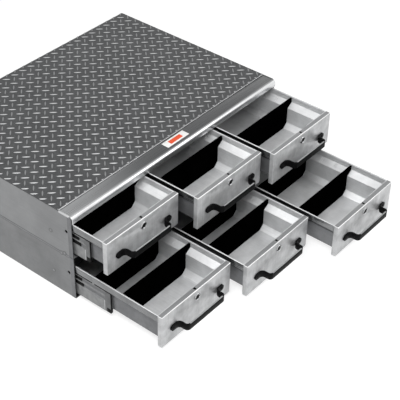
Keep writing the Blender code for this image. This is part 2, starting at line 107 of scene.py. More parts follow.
# Label on the top strip
LABEL_LOW = (412.0 * MM, 13.7 * MM)
LABEL_SIZE = (94.0 * MM, 27.5 * MM)
LABEL_THICKNESS = 0.15 * MM
LABEL_PRINT_MARGIN = (21.0 * MM, 6.0 * MM)

# Drawer front
FRONT_WIDTH = 292.0 * MM
FRONT_HEIGHT = 109.5 * MM
FRONT_DEPTH = 14.5 * MM
FRONT_RADIUS = 1.7 * MM
FRONT_SHEET = 1.2 * MM
HALF_FRONT = FRONT_WIDTH / 2
NOTCH_WIDTH = 8.0 * MM
PAD_HEIGHT = 2.5 * MM
NOTCH_START = 4.5 * MM
SHEAR_EDGE = 0.3 * MM

# Tray, insets from the side of the front and rises from its bottom edge
TRAY_START = 14.8 * MM
TRAY_END = 630.0 * MM
TRAY_BEND = 2.3 * MM
BAND_RISE = 87.6 * MM
RIM_INSET = 5.0 * MM
RIM_WALL_RISE = 90.7 * MM
WALL_INSET = 25.0 * MM
SLOPE_RISE = 77.0 * MM
CHAMFER_RISE = 24.5 * MM
FLOOR_INSET = 40.4 * MM
FLOOR_RISE = 8.5 * MM
END_WALL_TOP = 109.0 * MM
WALL_GAP = 0.3 * MM
BAND_SLANT = 0.6
SKIN_INSET = 16.4 * MM
SKIN_THICKNESS = 1.5 * MM
SKIN_RISE = 14.5 * MM
SKIN_TOP = 81.2 * MM
CAM_WINDOW = (-10.0 * MM, 40.5 * MM)
CAM_WINDOW_DROP = 10 * MM

# Divider places: pairs of pressed ribs between which a divider stands
DIVIDER_FIRST = 141.0 * MM
DIVIDER_PITCH = 51.25 * MM
DIVIDER_PLACES = 9
DIVIDER_THICKNESS = 3.0 * MM
RIB_WIDTH = 1.8 * MM
RIB_HEIGHT = 1.1 * MM
RIB_CLEARANCE = 0.35 * MM
RIB_SECTION = ((-1.0, 0.0), (-0.75, 0.62), (0.0, 1.0), (0.75, 0.62), (1.0, 0.0))
RIB_STEPS = 14
RIB_FADE = 0.35
RIB_LEAST = 0.05
RIB_SINK = 0.05 * MM
UPPER_RIB = (78.0 * MM, 89.5 * MM)
LOWER_RIB = (9.5 * MM, 26.0 * MM)

# Slides
SLIDE_RISE = 41.2 * MM
SLIDE_LENGTH = 600.0 * MM
SLIDE_SHEET = 1.6 * MM
RAIL_START = 30.0 * MM
RAIL_LENGTH = 590.0 * MM
RAIL_HALF_HEIGHT = 40.0 * MM
RAIL_WEB = -2.6 * MM
RAIL_LIP = 10.4 * MM
MEMBER_HALF_HEIGHT = 36.75 * MM
MEMBER_TOP = 37.6 * MM
MEMBER_WEB = 4.0 * MM
MEMBER_LIP = 15.4 * MM
MEMBER_GROOVES = ((33.5 * MM, 20.0 * MM), (16.5 * MM, 2.0 * MM))
GROOVE_DEPTH = 3.0 * MM
GROOVE_SLOPE = 1.5 * MM
MEMBER_EDGE = 2.2 * MM
CAGE_LENGTH = 260.0 * MM
CAGE_REACHES = (15.0 * MM, 21.0 * MM)
BUFFER_FOOT = (14.0 * MM, 15.0 * MM)
STOP_START = -2.0 * MM
STOP_LENGTH = 21.0 * MM
BUMPER_LENGTH = 2.2 * MM
BUMPER_DEPTH = 4.0 * MM
STOP_SHIFTS = {"upper": 6.0 * MM, "lower": 0.0}
MEMBER_BEND = 1.6 * MM
# Outline of the black strip that paints the shade under the hanging band.
STRIP_OUTLINE = (
    (1.5, 46.1), (4.2, 46.1), (4.2, 41.7), (12.2, 41.7),
    (12.2, 37.7), (10.9, 37.7), (10.9, 40.5), (1.5, 40.5))
CLIP_INSETS = (0.9 * MM, 1.9 * MM)
CLIP_STATIONS = (54.0 * MM, 62.0 * MM)
CLIP_RISES = (40.8 * MM, 46.2 * MM)
RUNNER_START = 18.0 * MM
RUNNER_RISES = (18.3 * MM, 70.9 * MM)
RUNNER_INSETS = (13.4 * MM, 16.4 * MM)

# Handle, a bent flat bar
HANDLE_RISE = 47.2 * MM
HANDLE_HEIGHT = 21.0 * MM
HANDLE_THICKNESS = 4.5 * MM
HANDLE_REACH = 36.0 * MM
HANDLE_HALF_SPAN = 112.5 * MM
HANDLE_ARM = 79.0 * MM
HANDLE_ROOT_RADIUS = 12.0 * MM
HANDLE_CORNER_RADIUS = 9.0 * MM
HANDLE_EDGE = 1.1 * MM
HANDLE_GAP = 0.3 * MM
FOOT_TIP = 0.12
SCREW_DOME = ((0.0, 0.0), (1.0, 0.0), (1.0, -0.3), (0.86, -0.75), (0.55, -1.0), (0.0, -1.0))
SCREW_SOCKET = 0.45
SCREW_SIZE = (4.2 * MM, 1.9 * MM)
HIGHLIGHT_SLANT = 0.4

# Lock
LOCK_RISE = FRONT_HEIGHT - 24.8 * MM
LOCK_BODY_RADIUS = 9.5 * MM
LOCK_FACE_RADIUS = 11.5 * MM
LOCK_BORE_RADIUS = 8.0 * MM
LOCK_FACE = -2.3 * MM
LOCK_END = 14.2 * MM
PLUG_RADIUS = 7.7 * MM
PLUG_FACE = -1.5 * MM
BARREL_CHAMFER = 0.7 * MM
FLANGE_BEVEL = ((1.6 * MM, 0.0), (0.5 * MM, 0.5 * MM), (0.0, 1.2 * MM))
PLUG_DISH = (
    (0.0, 0.5 * MM), (PLUG_RADIUS * 0.55, 0.4 * MM), (PLUG_RADIUS - 0.4 * MM, 0.0), (PLUG_RADIUS, 0.4 * MM))
KEYWAY = (0.9 * MM, 4 * MM)
NUT = (4 * MM, 1.5 * MM)
CAM_START = 15.0 * MM
CAM_THICKNESS = 2.5 * MM
CAM_REACH = 38.0 * MM
CAM_HALF_WIDTH = 6.5 * MM

# Camera, fitted to the picture, and the picture's size in pixels
CAMERA_PLACE = (-2.0258, -2.0072, 2.1539)
CAMERA_AZIMUTH = -51.5
CAMERA_ELEVATION = 38.18
CAMERA_ROLL = 1.38
FOCAL_PIXELS = 1108.9
PICTURE = 400
PICTURE_CENTRE = (199.28, 199.86)
SENSOR = 36.0

# Sockets of a Mix node set to colours
COLOUR_A, COLOUR_B, COLOUR_RESULT = 6, 7, 2

# Patterns of the materials
PIECE_SHIFT = 9.0
LINE_PITCH = 2.0 * MM
LINE_LENGTH = 180 * MM
CLOUD_SPREAD = 0.18
# Faces whose normal points up this much take a painted shade, which changes over the length below from the
# left end
UPWARD = (0.88, 0.99)
TOP_SHADE_LENGTH = 420 * MM
TREAD_ROUGHNESS = 0.46
TREAD_CREST = (TREAD_TOP + 0.35 * MM, TREAD_TOP + 1.1 * MM)
GRIT = 4 * MM
STAIN = 90 * MM
BLOOM = 14 * MM
COAT_PATCH = 30 * MM
FILM_PATCH = 12 * MM

# Studio: floor, light that the world gives, and lamps by name, size, power and place
FLOOR_HALF = 9.0
FLOOR_DROP = 0.5 * MM
FLOOR_GLOW = 0.72
WORLD_SOFTNESS = 0.44
SOFTBOXES = (
    ("overhead_softbox", 1.2, 25, (-1.0, -0.9, 1.9)),
    ("front_softbox", 1.5, 26, (1.8, -2.4, 1.9)),
)
LAMP_AIM = (0, -0.3, 0.15)

SIDES = (("left", -1), ("right", 1))
PLACES = [f"{row}_{column}" for row in ("upper", "lower") for column in ("left", "middle", "right")]


# Colours and nodes


def linear(hex_colour):
    """An sRGB hex colour as linear red, green, blue and alpha."""
    channels = [int(hex_colour[start:start + 2], 16) / 255 for start in (1, 3, 5)]
    return (*[c / 12.92 if c <= 0.04045 else ((c + 0.055) / 1.055) ** 2.4 for c in channels], 1.0)


def add(tree, kind, values=None, links=None, **settings):
    """Adds a node: its own settings, the values of its sockets, and what feeds them."""
    made = tree.nodes.new(kind)
    for key, setting in settings.items():
        setattr(made, key, setting)
    for socket, value in (values or {}).items():
        made.inputs[socket].default_value = value
    for socket, source in (links or {}).items():
        tree.links.new(source, made.inputs[socket])
    return made


def new_finish(name, roughness, metallic=0.0, **sockets):
    """A material with a Principled shader set to plain values."""
    material = bpy.data.materials.new(name)
    material.use_nodes = True
    shader = material.node_tree.nodes["Principled BSDF"]
    shader.inputs["Roughness"].default_value = roughness
    shader.inputs["Metallic"].default_value = metallic
    for socket, value in sockets.items():
        shader.inputs[socket.replace("_", " ")].default_value = value
    return material, material.node_tree, shader


def piece_place(tree):
    """The place on the piece in metres, shifted from piece to piece so that no two look alike."""
    inside = add(tree, "ShaderNodeTexCoord")
    piece = add(tree, "ShaderNodeObjectInfo")
    away = add(tree, "ShaderNodeMath", {1: PIECE_SHIFT}, {0: piece.outputs["Random"]}, operation="MULTIPLY")
    links = {0: inside.outputs["Object"], 1: away.outputs[0]}
    return add(tree, "ShaderNodeVectorMath", None, links, operation="ADD").outputs[0]


def toned(tree, amount, limits, tones):
    """A colour that goes from the second tone to the first as the amount goes from limit to limit."""
    ends = {"From Min": limits[0], "From Max": limits[1]}
    share = add(tree, "ShaderNodeMapRange", ends, {"Value": amount})
    ends = {COLOUR_A: linear(tones[1]), COLOUR_B: linear(tones[0])}
    return add(tree, "ShaderNodeMix", ends, {0: share.outputs[0]}, data_type="RGBA").outputs[COLOUR_RESULT]


def surfaced(tree, shader, colour, gloss=None, relief=None):
    """Feeds the shader a colour, and where given a roughness and a relief that follow a pattern.

    gloss is the pattern, its lowest and highest value, and the roughness at each. relief is the
    pattern, the strength and the depth of the relief.
    """
    tree.links.new(colour, shader.inputs["Base Color"])
    if gloss:
        pattern, *ends = gloss
        values = dict(zip(("From Min", "From Max", "To Min", "To Max"), ends))
        roughness = add(tree, "ShaderNodeMapRange", values, {"Value": pattern})
        tree.links.new(roughness.outputs[0], shader.inputs["Roughness"])
    if relief:
        pattern, strength, depth = relief
        bump = add(tree, "ShaderNodeBump", {"Strength": strength, "Distance": depth}, {"Height": pattern})
        tree.links.new(bump.outputs[0], shader.inputs["Normal"])


def rolled_aluminium(name, tones, roughness, rolling, metal=0.6, streaks=0.5, top_shade=None, cloud=60 * MM):
    """Mill-finish aluminium, cold rolled: cloudy oxide and fine rolling lines, so it is soft and streaked.

    tones are the pale and the dark end of the clouds, and rolling is the axis that the lines run
    along. metal is under 1 because the oxide on the sheet scatters light as paint does. The tone given
    for faces that lie flat and face up is a painted shade. The lines are under 0.2 mm apart on the real
    sheet and are drawn 2 mm apart, so that they show.
    """
    material, tree, shader = new_finish(name, roughness, metal)
    place = piece_place(tree)
    across = [1 / LINE_PITCH] * 3
    across["XYZ".index(rolling)] = 1 / LINE_LENGTH
    stretched = add(tree, "ShaderNodeMapping", {"Scale": across}, {"Vector": place})
    lines = add(tree, "ShaderNodeTexNoise", {"Scale": 1.0, "Detail": 3.0}, {"Vector": stretched.outputs[0]})
    values = {"Scale": 1 / cloud, "Detail": 4.0, "Roughness": 0.6}
    clouds = add(tree, "ShaderNodeTexNoise", values, {"Vector": place})
    links = {0: lines.outputs["Fac"], 2: clouds.outputs["Fac"]}
    both = add(tree, "ShaderNodeMath", {1: streaks}, links, operation="MULTIPLY_ADD")
    middle = (1 + streaks) / 2
    colour = toned(tree, both.outputs[0], (middle - CLOUD_SPREAD, middle + CLOUD_SPREAD), tones)
    # Painted shade: faces that lie flat and face up take a darker tone.
    if top_shade:
        colour = shaded_on_top(tree, colour, top_shade)
    gloss = (lines.outputs["Fac"], 0.3, 0.7, roughness - 0.06, roughness + 0.08)
    surfaced(tree, shader, colour, gloss, (lines.outputs["Fac"], 0.25, 0.05 * MM))
    return material


def shaded_on_top(tree, colour, top_shade):
    """Paints shade on faces that lie flat and face up: one tone, or two from the left end to the middle."""
    surface = add(tree, "ShaderNodeNewGeometry")
    parts = add(tree, "ShaderNodeSeparateXYZ", None, {0: surface.outputs["Normal"]})
    limits = {"From Min": UPWARD[0], "From Max": UPWARD[1]}
    upward = add(tree, "ShaderNodeMapRange", limits, {"Value": parts.outputs["Z"]})
    inside = add(tree, "ShaderNodeTexCoord").outputs["Object"]
    along = add(tree, "ShaderNodeSeparateXYZ", None, {0: inside})
    limits = {"From Min": -HALF_WIDTH, "From Max": -HALF_WIDTH + TOP_SHADE_LENGTH}
    share = add(tree, "ShaderNodeMapRange", limits, {"Value": along.outputs["X"]})
    share.interpolation_type = "SMOOTHERSTEP"
    ends = {COLOUR_A: linear(top_shade[0]), COLOUR_B: linear(top_shade[-1])}
    top = add(tree, "ShaderNodeMix", ends, {0: share.outputs[0]}, data_type="RGBA").outputs[COLOUR_RESULT]
    links = {0: upward.outputs[0], COLOUR_A: colour, COLOUR_B: top}
    return add(tree, "ShaderNodeMix", None, links, data_type="RGBA").outputs[COLOUR_RESULT]


def rolled_tread_aluminium(name, crest_tone, crest_gloss):
    """Tread plate: a dark matt ground under lozenges whose crests are paler, partly wear and partly painted
    highlight.
    """
    material, tree, shader = new_finish(name, TREAD_ROUGHNESS, 0.8)
    inside = add(tree, "ShaderNodeTexCoord").outputs["Object"]
    stain, grit = [
        add(tree, "ShaderNodeTexNoise", {"Scale": 1 / size, "Detail": 3.0}, {"Vector": inside}).outputs["Fac"]
        for size in (STAIN, GRIT)]
    both = add(tree, "ShaderNodeMath", {1: 0.4}, {0: stain, 2: grit}, operation="MULTIPLY_ADD")
    ground = toned(tree, both.outputs[0], (0.5, 0.9), ("#58595a", "#48494a"))
    height = add(tree, "ShaderNodeSeparateXYZ", None, {0: inside})
    limits = {"From Min": TREAD_CREST[0], "From Max": TREAD_CREST[1]}
    crest = add(tree, "ShaderNodeMapRange", limits, {"Value": height.outputs["Z"]}).outputs[0]
    links = {0: crest, COLOUR_A: ground}
    colour = add(tree, "ShaderNodeMix", {COLOUR_B: linear(crest_tone)}, links, data_type="RGBA")
    gloss = (crest, 0.0, 1.0, TREAD_ROUGHNESS, crest_gloss)
    surfaced(tree, shader, colour.outputs[COLOUR_RESULT], gloss, (grit, 0.3, 0.1 * MM))
    return material


def plated_steel(name, pale, dark, roughness, metal=1.0):
    """Bright zinc plate on cold-rolled steel: an even grey with a faint cloudy bloom."""
    material, tree, shader = new_finish(name, roughness, metal)
    links = {"Vector": piece_place(tree)}
    bloom = add(tree, "ShaderNodeTexNoise", {"Scale": 1 / BLOOM, "Detail": 4.0}, links).outputs["Fac"]
    colour = toned(tree, bloom, (0.35, 0.65), (pale, dark))
    surfaced(tree, shader, colour, (bloom, 0.0, 1.0, roughness - 0.05, roughness + 0.07))
    return material


def coated(name, tone, worn, roughness, grain, relief, specular):
    """A black coat or moulding with a fine even grain: matt, with a soft sheen only along its edges."""
    material, tree, shader = new_finish(name, roughness, Specular_IOR_Level=specular)
    links = {"Vector": piece_place(tree)}
    texture = add(tree, "ShaderNodeTexNoise", {"Scale": 1 / grain, "Detail": 2.0}, links)
    patches = add(tree, "ShaderNodeTexNoise", {"Scale": 1 / COAT_PATCH, "Detail": 3.0}, links)
    colour = toned(tree, patches.outputs["Fac"], (0.4, 0.75), (worn, tone))
    surfaced(tree, shader, colour, None, (texture.outputs["Fac"], relief, 0.1 * MM))
    return material


def vinyl(name, tone, soiled):
    """Printed vinyl film: even and slightly glossy, a little soiled in patches."""
    material, tree, shader = new_finish(name, 0.4, Specular_IOR_Level=0.3)
    links = {"Vector": piece_place(tree)}
    patches = add(tree, "ShaderNodeTexNoise", {"Scale": 1 / FILM_PATCH, "Detail": 3.0}, links)
    surfaced(tree, shader, toned(tree, patches.outputs["Fac"], (0.45, 0.8), (soiled, tone)))
    return material


CASING_UPPER = rolled_aluminium(
    "mill_aluminium_casing_upper", ("#9a9b9c", "#88898a"), 0.5, "Y", cloud=150 * MM)
# The lower casing's tones are darker than the upper's: painted shade towards the floor.
CASING_LOWER = rolled_aluminium(
    "mill_aluminium_casing_lower_painted_shade", ("#8c8d8e", "#78797a"), 0.5, "Y", cloud=110 * MM)
# The strip's pale tones stand partly for the roll's painted highlight, and its top faces take painted shade.
STRIP_METAL = rolled_aluminium(
    "brushed_aluminium_strip", ("#e8e9ea", "#d4d5d6"), 0.3, "X", 0.9, top_shade=("#8a8b8c", "#565758"))
# Pale tone for the joint bead and the strip's folded ends: painted highlight on their bends.
EDGE_HIGHLIGHT_METAL = rolled_aluminium(
    "aluminium_edge_painted_highlight", ("#d2d3d4", "#c4c5c6"), 0.4, "X", 0.8, top_shade=("#b4b5b6", "#6c6d6e"))
# The fronts' top flanges take a darker tone: painted shade.
PAN_METAL = rolled_aluminium(
    "mill_aluminium_front", ("#d8d9da", "#aeafb0"), 0.42, "Z", 0.42, 0.35,
    top_shade=("#8c8d8e",), cloud=45 * MM)
# Near-white tone for the fronts' top folds: painted highlight.
FOLD_HIGHLIGHT = rolled_aluminium("aluminium_fold_painted_highlight", ("#fafafa", "#e8e9ea"), 0.35, "X", 0.3)
TRAY_METAL = rolled_aluminium(
    "mill_aluminium_tray", ("#dcddde", "#c2c3c4"), 0.45, "Y", 0.4, 0.4, cloud=70 * MM)
# Darker mill tone for the runners and the casing's hem, and painted shade in the slide grooves.
SKIN_AND_SHADE_METAL = rolled_aluminium(
    "mill_aluminium_skin_and_painted_shade", ("#868789", "#727375"), 0.5, "Y", 0.5, 0.4, cloud=40 * MM)
# Darker tone for the tray's outside: painted shade.
BAND_SHADE_METAL = rolled_aluminium(
    "mirror_aluminium_band_painted_shade", ("#88898a", "#747576"), 0.26, "Y", 1.0, 0.4, cloud=40 * MM)
# Darker mill tone: painted shade on the partitions and the seam's shadow strip.
SHADE_METAL = rolled_aluminium("mill_aluminium_painted_shade", ("#7a7b7d", "#68696b"), 0.5, "Y")
# Crests paler than the ground: partly wear, partly painted highlight; the second material's crests are paler
# still.
TREAD_METAL = rolled_tread_aluminium("dark_tread_aluminium", "#8a8b8c", 0.4)
TREAD_HIGHLIGHT = rolled_tread_aluminium("tread_crest_wear_and_painted_highlight", "#d0d1d2", 0.3)
SLIDE_STEEL = plated_steel("zinc_plated_slide_steel", "#989999", "#858687", 0.45, 0.35)
STOP_STEEL = plated_steel("phosphated_stop_steel", "#7a7b7c", "#68696a", 0.5, 0.35)
LOCK_BRIGHT = plated_steel("chromed_lock_zinc", "#cccdce", "#b8b9ba", 0.22)
# Near-black plug: painted shade of the lock's recess.
LOCK_SHADE = plated_steel("lock_plug_painted_shade", "#242425", "#1a1a1b", 0.4)
POWDER_COAT = coated("black_powder_coated_steel", "#060607", "#0c0c0d", 0.5, 1.2 * MM, 0.2, 0.08)
# Pale grey for the grip's upward faces: painted highlight.
COAT_HIGHLIGHT = coated("powder_coat_painted_highlight", "#a2a3a4", "#8c8d8e", 0.4, 1.2 * MM, 0.2, 0.3)
RAIL_PAINT = coated("black_painted_rail", "#0c0c0d", "#151516", 0.5, 1.0 * MM, 0.1, 0.1)
# Black for the sill strip: painted shade under the drawers.
SILL_SHADE = coated("black_sill_painted_shade", "#0f0f0f", "#161616", 0.75, 1.5 * MM, 0.2, 0.1)
# Black nylon for screws and cages; the strip, buffer and latch pad use it also as painted shade.
NYLON_AND_SHADE = coated("black_nylon_and_painted_shade", "#060606", "#0c0c0d", 0.5, 1.0 * MM, 0.1, 0.1)
DIVIDER_SHEET = coated("matt_black_divider_sheet", "#010101", "#030303", 0.7, 1.2 * MM, 0.1, 0.0)
LABEL_FILM = vinyl("white_vinyl_label", "#f6f6f4", "#e6e5e2")
LABEL_PRINT = vinyl("orange_label_print", "#e8562c", "#d9491f")


# Shapes


def mesh_of(name, grid):
    """Turns an edited grid into a mesh."""
    mesh = bpy.data.meshes.new(name)
    grid.to_mesh(mesh)
    grid.free()
    return mesh


def rounded_path(corners, radius, steps):
    """Replaces each inner corner of an open path by an arc."""
    points = [Vector(corners[0])]
    for before, corner, after in zip(corners, corners[1:], corners[2:]):
        corner = Vector(corner)
        inwards = (Vector(before) - corner).normalized()
        onwards = (Vector(after) - corner).normalized()
        half = inwards.angle(onwards) / 2
        centre = corner + (inwards + onwards).normalized() * radius / math.sin(half)
        first = corner + inwards * radius / math.tan(half) - centre
        last = corner + onwards * radius / math.tan(half) - centre
        sweep = first.angle_signed(last)
        for step in range(steps + 1):
            points.append(centre + Matrix.Rotation(-sweep * step / steps, 2) @ first)
    points.append(Vector(corners[-1]))
    return points


def along_y(point, at):
    """A point of an outline in X and Z, at a station along Y."""
    return (point[0], at, point[1])


def along_x(point, at):
    """A point of an outline in Y and Z, at a station along X."""
    return (at, point[0], point[1])


def bridge(grid, rows):
    """Fills the faces between rows of points."""
    for near, far in zip(rows, rows[1:]):
        for corners in zip(near, near[1:], far[1:], far):
            grid.faces.new(corners)


def sheet_mesh(name, path, place, stations):
    """An open sheet: a path in a plane, drawn out through the stations."""
    grid = bmesh.new()
    bridge(grid, [[grid.verts.new(place(point, at)) for point in path] for at in stations])
    return mesh_of(name, grid)


def block_grid(low, high):
    """A block between two corners, to be worked on."""
    grid = bmesh.new()
    middle = [(a + b) / 2 for a, b in zip(low, high)]
    size = [b - a for a, b in zip(low, high)]
    place = Matrix.Translation(middle) @ Matrix.Diagonal((*size, 1.0))
    bmesh.ops.create_cube(grid, size=1.0, matrix=place)
    return grid


def block_mesh(name, low, high, rounding=0.0):
    """A closed block between two corners, its edges rounded."""
    grid = block_grid(low, high)
    if rounding:
        bmesh.ops.bevel(grid, geom=grid.edges[:], offset=rounding, segments=2, profile=0.5, affect="EDGES")
    return mesh_of(name, grid)


def side_block(name, side, insets, stations, rises, rounding=SHEAR_EDGE):
    """A block by a drawer's side: insets from the front's side edge, stations along Y, rises along Z."""
    ends = sorted(side * (HALF_FRONT - inset) for inset in insets)
    return block_mesh(name, *zip(ends, stations, rises), rounding)


def turned_mesh(name, profile, steps=32):
    """A ring turned about the Y axis from a closed outline of radius and depth."""
    grid = bmesh.new()
    points = [grid.verts.new((radius, depth, 0)) for radius, depth in profile]
    edges = [grid.edges.new((point, points[(index + 1) % len(points)])) for index, point in enumerate(points)]
    bmesh.ops.spin(
        grid, geom=points + edges, cent=(0, 0, 0), axis=(0, 1, 0), angle=math.tau,
        steps=steps, use_merge=True)
    bmesh.ops.remove_doubles(grid, verts=grid.verts, dist=0.001 * MM)
    bmesh.ops.recalc_face_normals(grid, faces=grid.faces)
    return mesh_of(name, grid)


def plate_mesh(name, outline, start, end):
    """A flat closed plate from its outline in X and Z, between two depths."""
    grid = bmesh.new()
    near = [grid.verts.new((x, start, z)) for x, z in outline]
    far = [grid.verts.new((x, end, z)) for x, z in outline]
    grid.faces.new(near)
    grid.faces.new(far)
    for index in range(len(near)):
        after = (index + 1) % len(near)
        grid.faces.new((near[index], near[after], far[after], far[index]))
    bmesh.ops.recalc_face_normals(grid, faces=grid.faces)
    return mesh_of(name, grid)


def merged(name, meshes):
    """Several meshes as one."""
    grid = bmesh.new()
    for mesh in meshes:
        grid.from_mesh(mesh)
    return mesh_of(name, grid)


def moved(mesh, shift, turn=0.0, axis="Z"):
    """A copy of a mesh, turned about an axis through the origin and then shifted."""
    copy = mesh.copy()
    copy.transform(Matrix.Translation(shift) @ Matrix.Rotation(turn, 4, axis))
    return copy


def placed(name, data):
    """A new object in the scene."""
    item = bpy.data.objects.new(name, data)
    bpy.context.scene.collection.objects.link(item)
    return item


def soften(item, rounding, limit=50):
    """Rounds the sharp edges of an object by a modifier."""
    edges = item.modifiers.new("softened_edges", "BEVEL")
    edges.width = rounding
    edges.segments = 2
    edges.limit_method = "ANGLE"
    edges.angle_limit = math.radians(limit)


def worked(mesh, thickness=0.0, side=1, rounding=0.0, cuts=(), limit=50):
    """Gives an open sheet its thickness, cuts closed meshes out of it and softens its sharp edges."""
    item = placed("work", mesh)
    tools = []
    if thickness:
        solid = item.modifiers.new("thickness", "SOLIDIFY")
        solid.thickness = thickness
        solid.offset = side
        solid.use_even_offset = True
    for shape in cuts:
        tool = placed("tool", shape)
        cut = item.modifiers.new("cut", "BOOLEAN")
        cut.operation = "DIFFERENCE"
        cut.solver = "EXACT"
        cut.object = tool
        tools.append(tool)
    if rounding:
        soften(item, rounding, limit)
    graph = bpy.context.evaluated_depsgraph_get()
    made = bpy.data.meshes.new_from_object(item.evaluated_get(graph))
    for used in (item, *tools):
        bpy.data.objects.remove(used)
    return made


def finished(mesh, *finishes, smooth=35):
    """Puts the finishes on a mesh, the last one on its marked folds, and shades its round faces smooth."""
    slots = [face.material_index for face in mesh.polygons]
    mesh.materials.clear()
    for finish in finishes:
        mesh.materials.append(finish)
    for face, slot in zip(mesh.polygons, slots):
        face.material_index = min(slot, len(finishes) - 1)
    mesh.shade_smooth()
    mesh.set_sharp_from_angle(angle=math.radians(smooth))
    return mesh


def add_piece(name, mesh, body, origin=(0, 0, 0), stands_for=()):
    """Places a finished mesh, lets it ride on a body and hides the imported nodes it stands for."""
    item = placed(name, mesh)
    item.location = origin
    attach(item, body)
    if stands_for:
        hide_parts(*stands_for)
    return item


def add_fixed(name, meshes, finish):
    """Adds several meshes to the casing as one piece."""
    add_piece(name, finished(merged(name, meshes), finish), "cabinet")


def refinish(node, material, rounding):
    """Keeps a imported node's shape, with its own finish and softened edges."""
    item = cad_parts[node]
    item.data.materials.clear()
    item.data.materials.append(material)
    soften(item, rounding)


def rivet_mesh(radius, height):
    """A low domed rivet head on the plane Y = 0, pointing to -Y."""
    return turned_mesh("rivet", [(radius * out, height * up) for out, up in RIVET_DOME], 20)


def screw_mesh(radius, height):
    """A button-head screw on the plane Y = 0, with a hexagon socket."""
    socket = cylinder_mesh(radius * SCREW_SOCKET, -1.5 * height, -0.5 * height, "Y", 6)
    head = turned_mesh("screw", [(radius * out, height * up) for out, up in SCREW_DOME], 24)
    return worked(head, cuts=[socket])


def cylinder_mesh(radius, start, end, axis, steps=32):
    """A closed cylinder along X or Y, for holes, washers and nuts."""
    grid = bmesh.new()
    turn = Matrix.Rotation(math.pi / 2, 4, "Y" if axis == "X" else "X")
    middle = Vector((1, 0, 0) if axis == "X" else (0, 1, 0)) * (start + end) / 2
    bmesh.ops.create_cone(
        grid, cap_ends=True, segments=steps, radius1=radius, radius2=radius, depth=end - start,
        matrix=Matrix.Translation(middle) @ turn)
    return mesh_of("drill", grid)


# Cabinet


def make_shell(node, name, row, finish, flange=0.0):
    """One half of the casing: floor, sides and top flanges folded from one sheet, hemmed at the front."""
    low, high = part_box(node)
    half = [(HALF_WIDTH, low.z), (HALF_WIDTH, high.z)]
    if flange:
        half.append((HALF_WIDTH - flange, high.z))
    corners = [(-x, z) for x, z in reversed(half)] + half
    hem_end = low.y + HEM_DEPTH
    stations = [low.y, hem_end, hem_end + HEM_STEP * 3, high.y]

    def place(point, at):
        inwards = HEM_STEP if at > hem_end and abs(point[0]) > HALF_WIDTH - SHELL_FOLD / 2 else 0.0
        return (point[0] - math.copysign(inwards, point[0]), at, point[1])

    sheet = sheet_mesh(name, rounded_path(corners, SHELL_FOLD, 5), place, stations)
    rise = SIDE_HOLE_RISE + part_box(f"{row}_left_front")[0].z
    reach = HALF_WIDTH + SHEET
    cuts = [
        moved(cylinder_mesh(SIDE_HOLE_RADIUS, -reach, reach, "X", 20), (0, depth, rise))
        for depth in (FRONT_PLANE + SIDE_HOLE_SETBACK, BACK_PLANE - SIDE_HOLE_SETBACK)]
    if flange:
        notch_end = TRIM_START + LIP_RADIUS + 2 * WALL_GAP
        corner = (-reach, low.y - SHEET, high.z - SHEET)
        cuts.append(block_mesh("notch", corner, (reach, notch_end, high.z + SHEET)))
    folded = worked(sheet, SHEET, 1, SHEAR_EDGE, cuts)
    for face in folded.polygons:
        if abs(face.center.x) > HALF_WIDTH - SHEET and face.center.y < hem_end:
            face.material_index = 1
    add_piece(name, finished(folded, finish, SKIN_AND_SHADE_METAL), "cabinet", stands_for=[node])
    add_fixed(f"{name}_bolts", side_bolts(rise), DIVIDER_SHEET)


def side_bolts(rise):
    """Dark bolts set back in the casing's side holes."""
    bolts = []
    for sign in (-1, 1):
        for depth in (FRONT_PLANE + SIDE_HOLE_SETBACK, BACK_PLANE - SIDE_HOLE_SETBACK):
            head = cylinder_mesh(SIDE_HOLE_RADIUS * 0.93, 0, SHEET, "X", 20)
            inner = sign * (HALF_WIDTH - SHEET * 1.1)
            bolts.append(moved(head, (min(inner, inner - sign * SHEET), depth, rise)))
    return bolts


def make_side_rivets():
    """Rivet heads on dark washers on the casing's sides, where the slides and the seam are fixed."""
    heads = []
    washers = []
    washer = cylinder_mesh(WASHER_RADIUS, -RIVET_HEIGHT, 0, "Y")
    head = rivet_mesh(RIVET_RADIUS, 2 * RIVET_HEIGHT)
    for depth, height in SIDE_RIVETS + SEAM_RIVETS:
        for sign in (-1, 1):
            place = (sign * (HALF_WIDTH - HEM_STEP), FRONT_PLANE + depth * MM, height * MM)
            washers.append(moved(washer, place, sign * math.pi / 2))
            heads.append(moved(head, place, sign * math.pi / 2))
    add_fixed("side_washers", washers, STOP_STEEL)
    add_fixed("side_rivets", heads, CASING_UPPER)


def make_seam_bead():
    """The folded seam between the casing's halves: a bead proud of the side on a dark strip that paints the
    groove's shade.
    """
    low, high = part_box("lower_shell")
    finishes = {"seam_shadow": SHADE_METAL, "seam_bead": CASING_UPPER}
    for name, half_height, proud in SEAM_LINES:
        strips = []
        for sign in (-1, 1):
            outer = HALF_WIDTH - HEM_STEP + proud
            ends = sorted((sign * (outer - SHEET / 2), sign * outer))
            start = low.y + HEM_DEPTH
            strips.append(block_mesh(
                name, (ends[0], start, SEAM - half_height), (ends[1], high.y, SEAM + half_height), proud / 2))
        add_fixed(name, strips, finishes[name])


def make_back_rivets():
    """Rivets round the edge of the back panel."""
    low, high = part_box("back_panel")
    heads = []
    head = rivet_mesh(RIVET_RADIUS, 2 * RIVET_HEIGHT)
    count = int((high.x - low.x - 2 * BACK_RIVET_MARGIN) / BACK_RIVET_PITCH)
    for level in (low.z + BACK_RIVET_MARGIN, SEAM, high.z - BACK_RIVET_MARGIN):
        for index in range(count + 1):
            across = low.x + BACK_RIVET_MARGIN + index * (high.x - low.x - 2 * BACK_RIVET_MARGIN) / count
            heads.append(moved(head, (across, BACK_PLANE, level), math.pi))
    add_fixed("back_rivets", heads, CASING_UPPER)


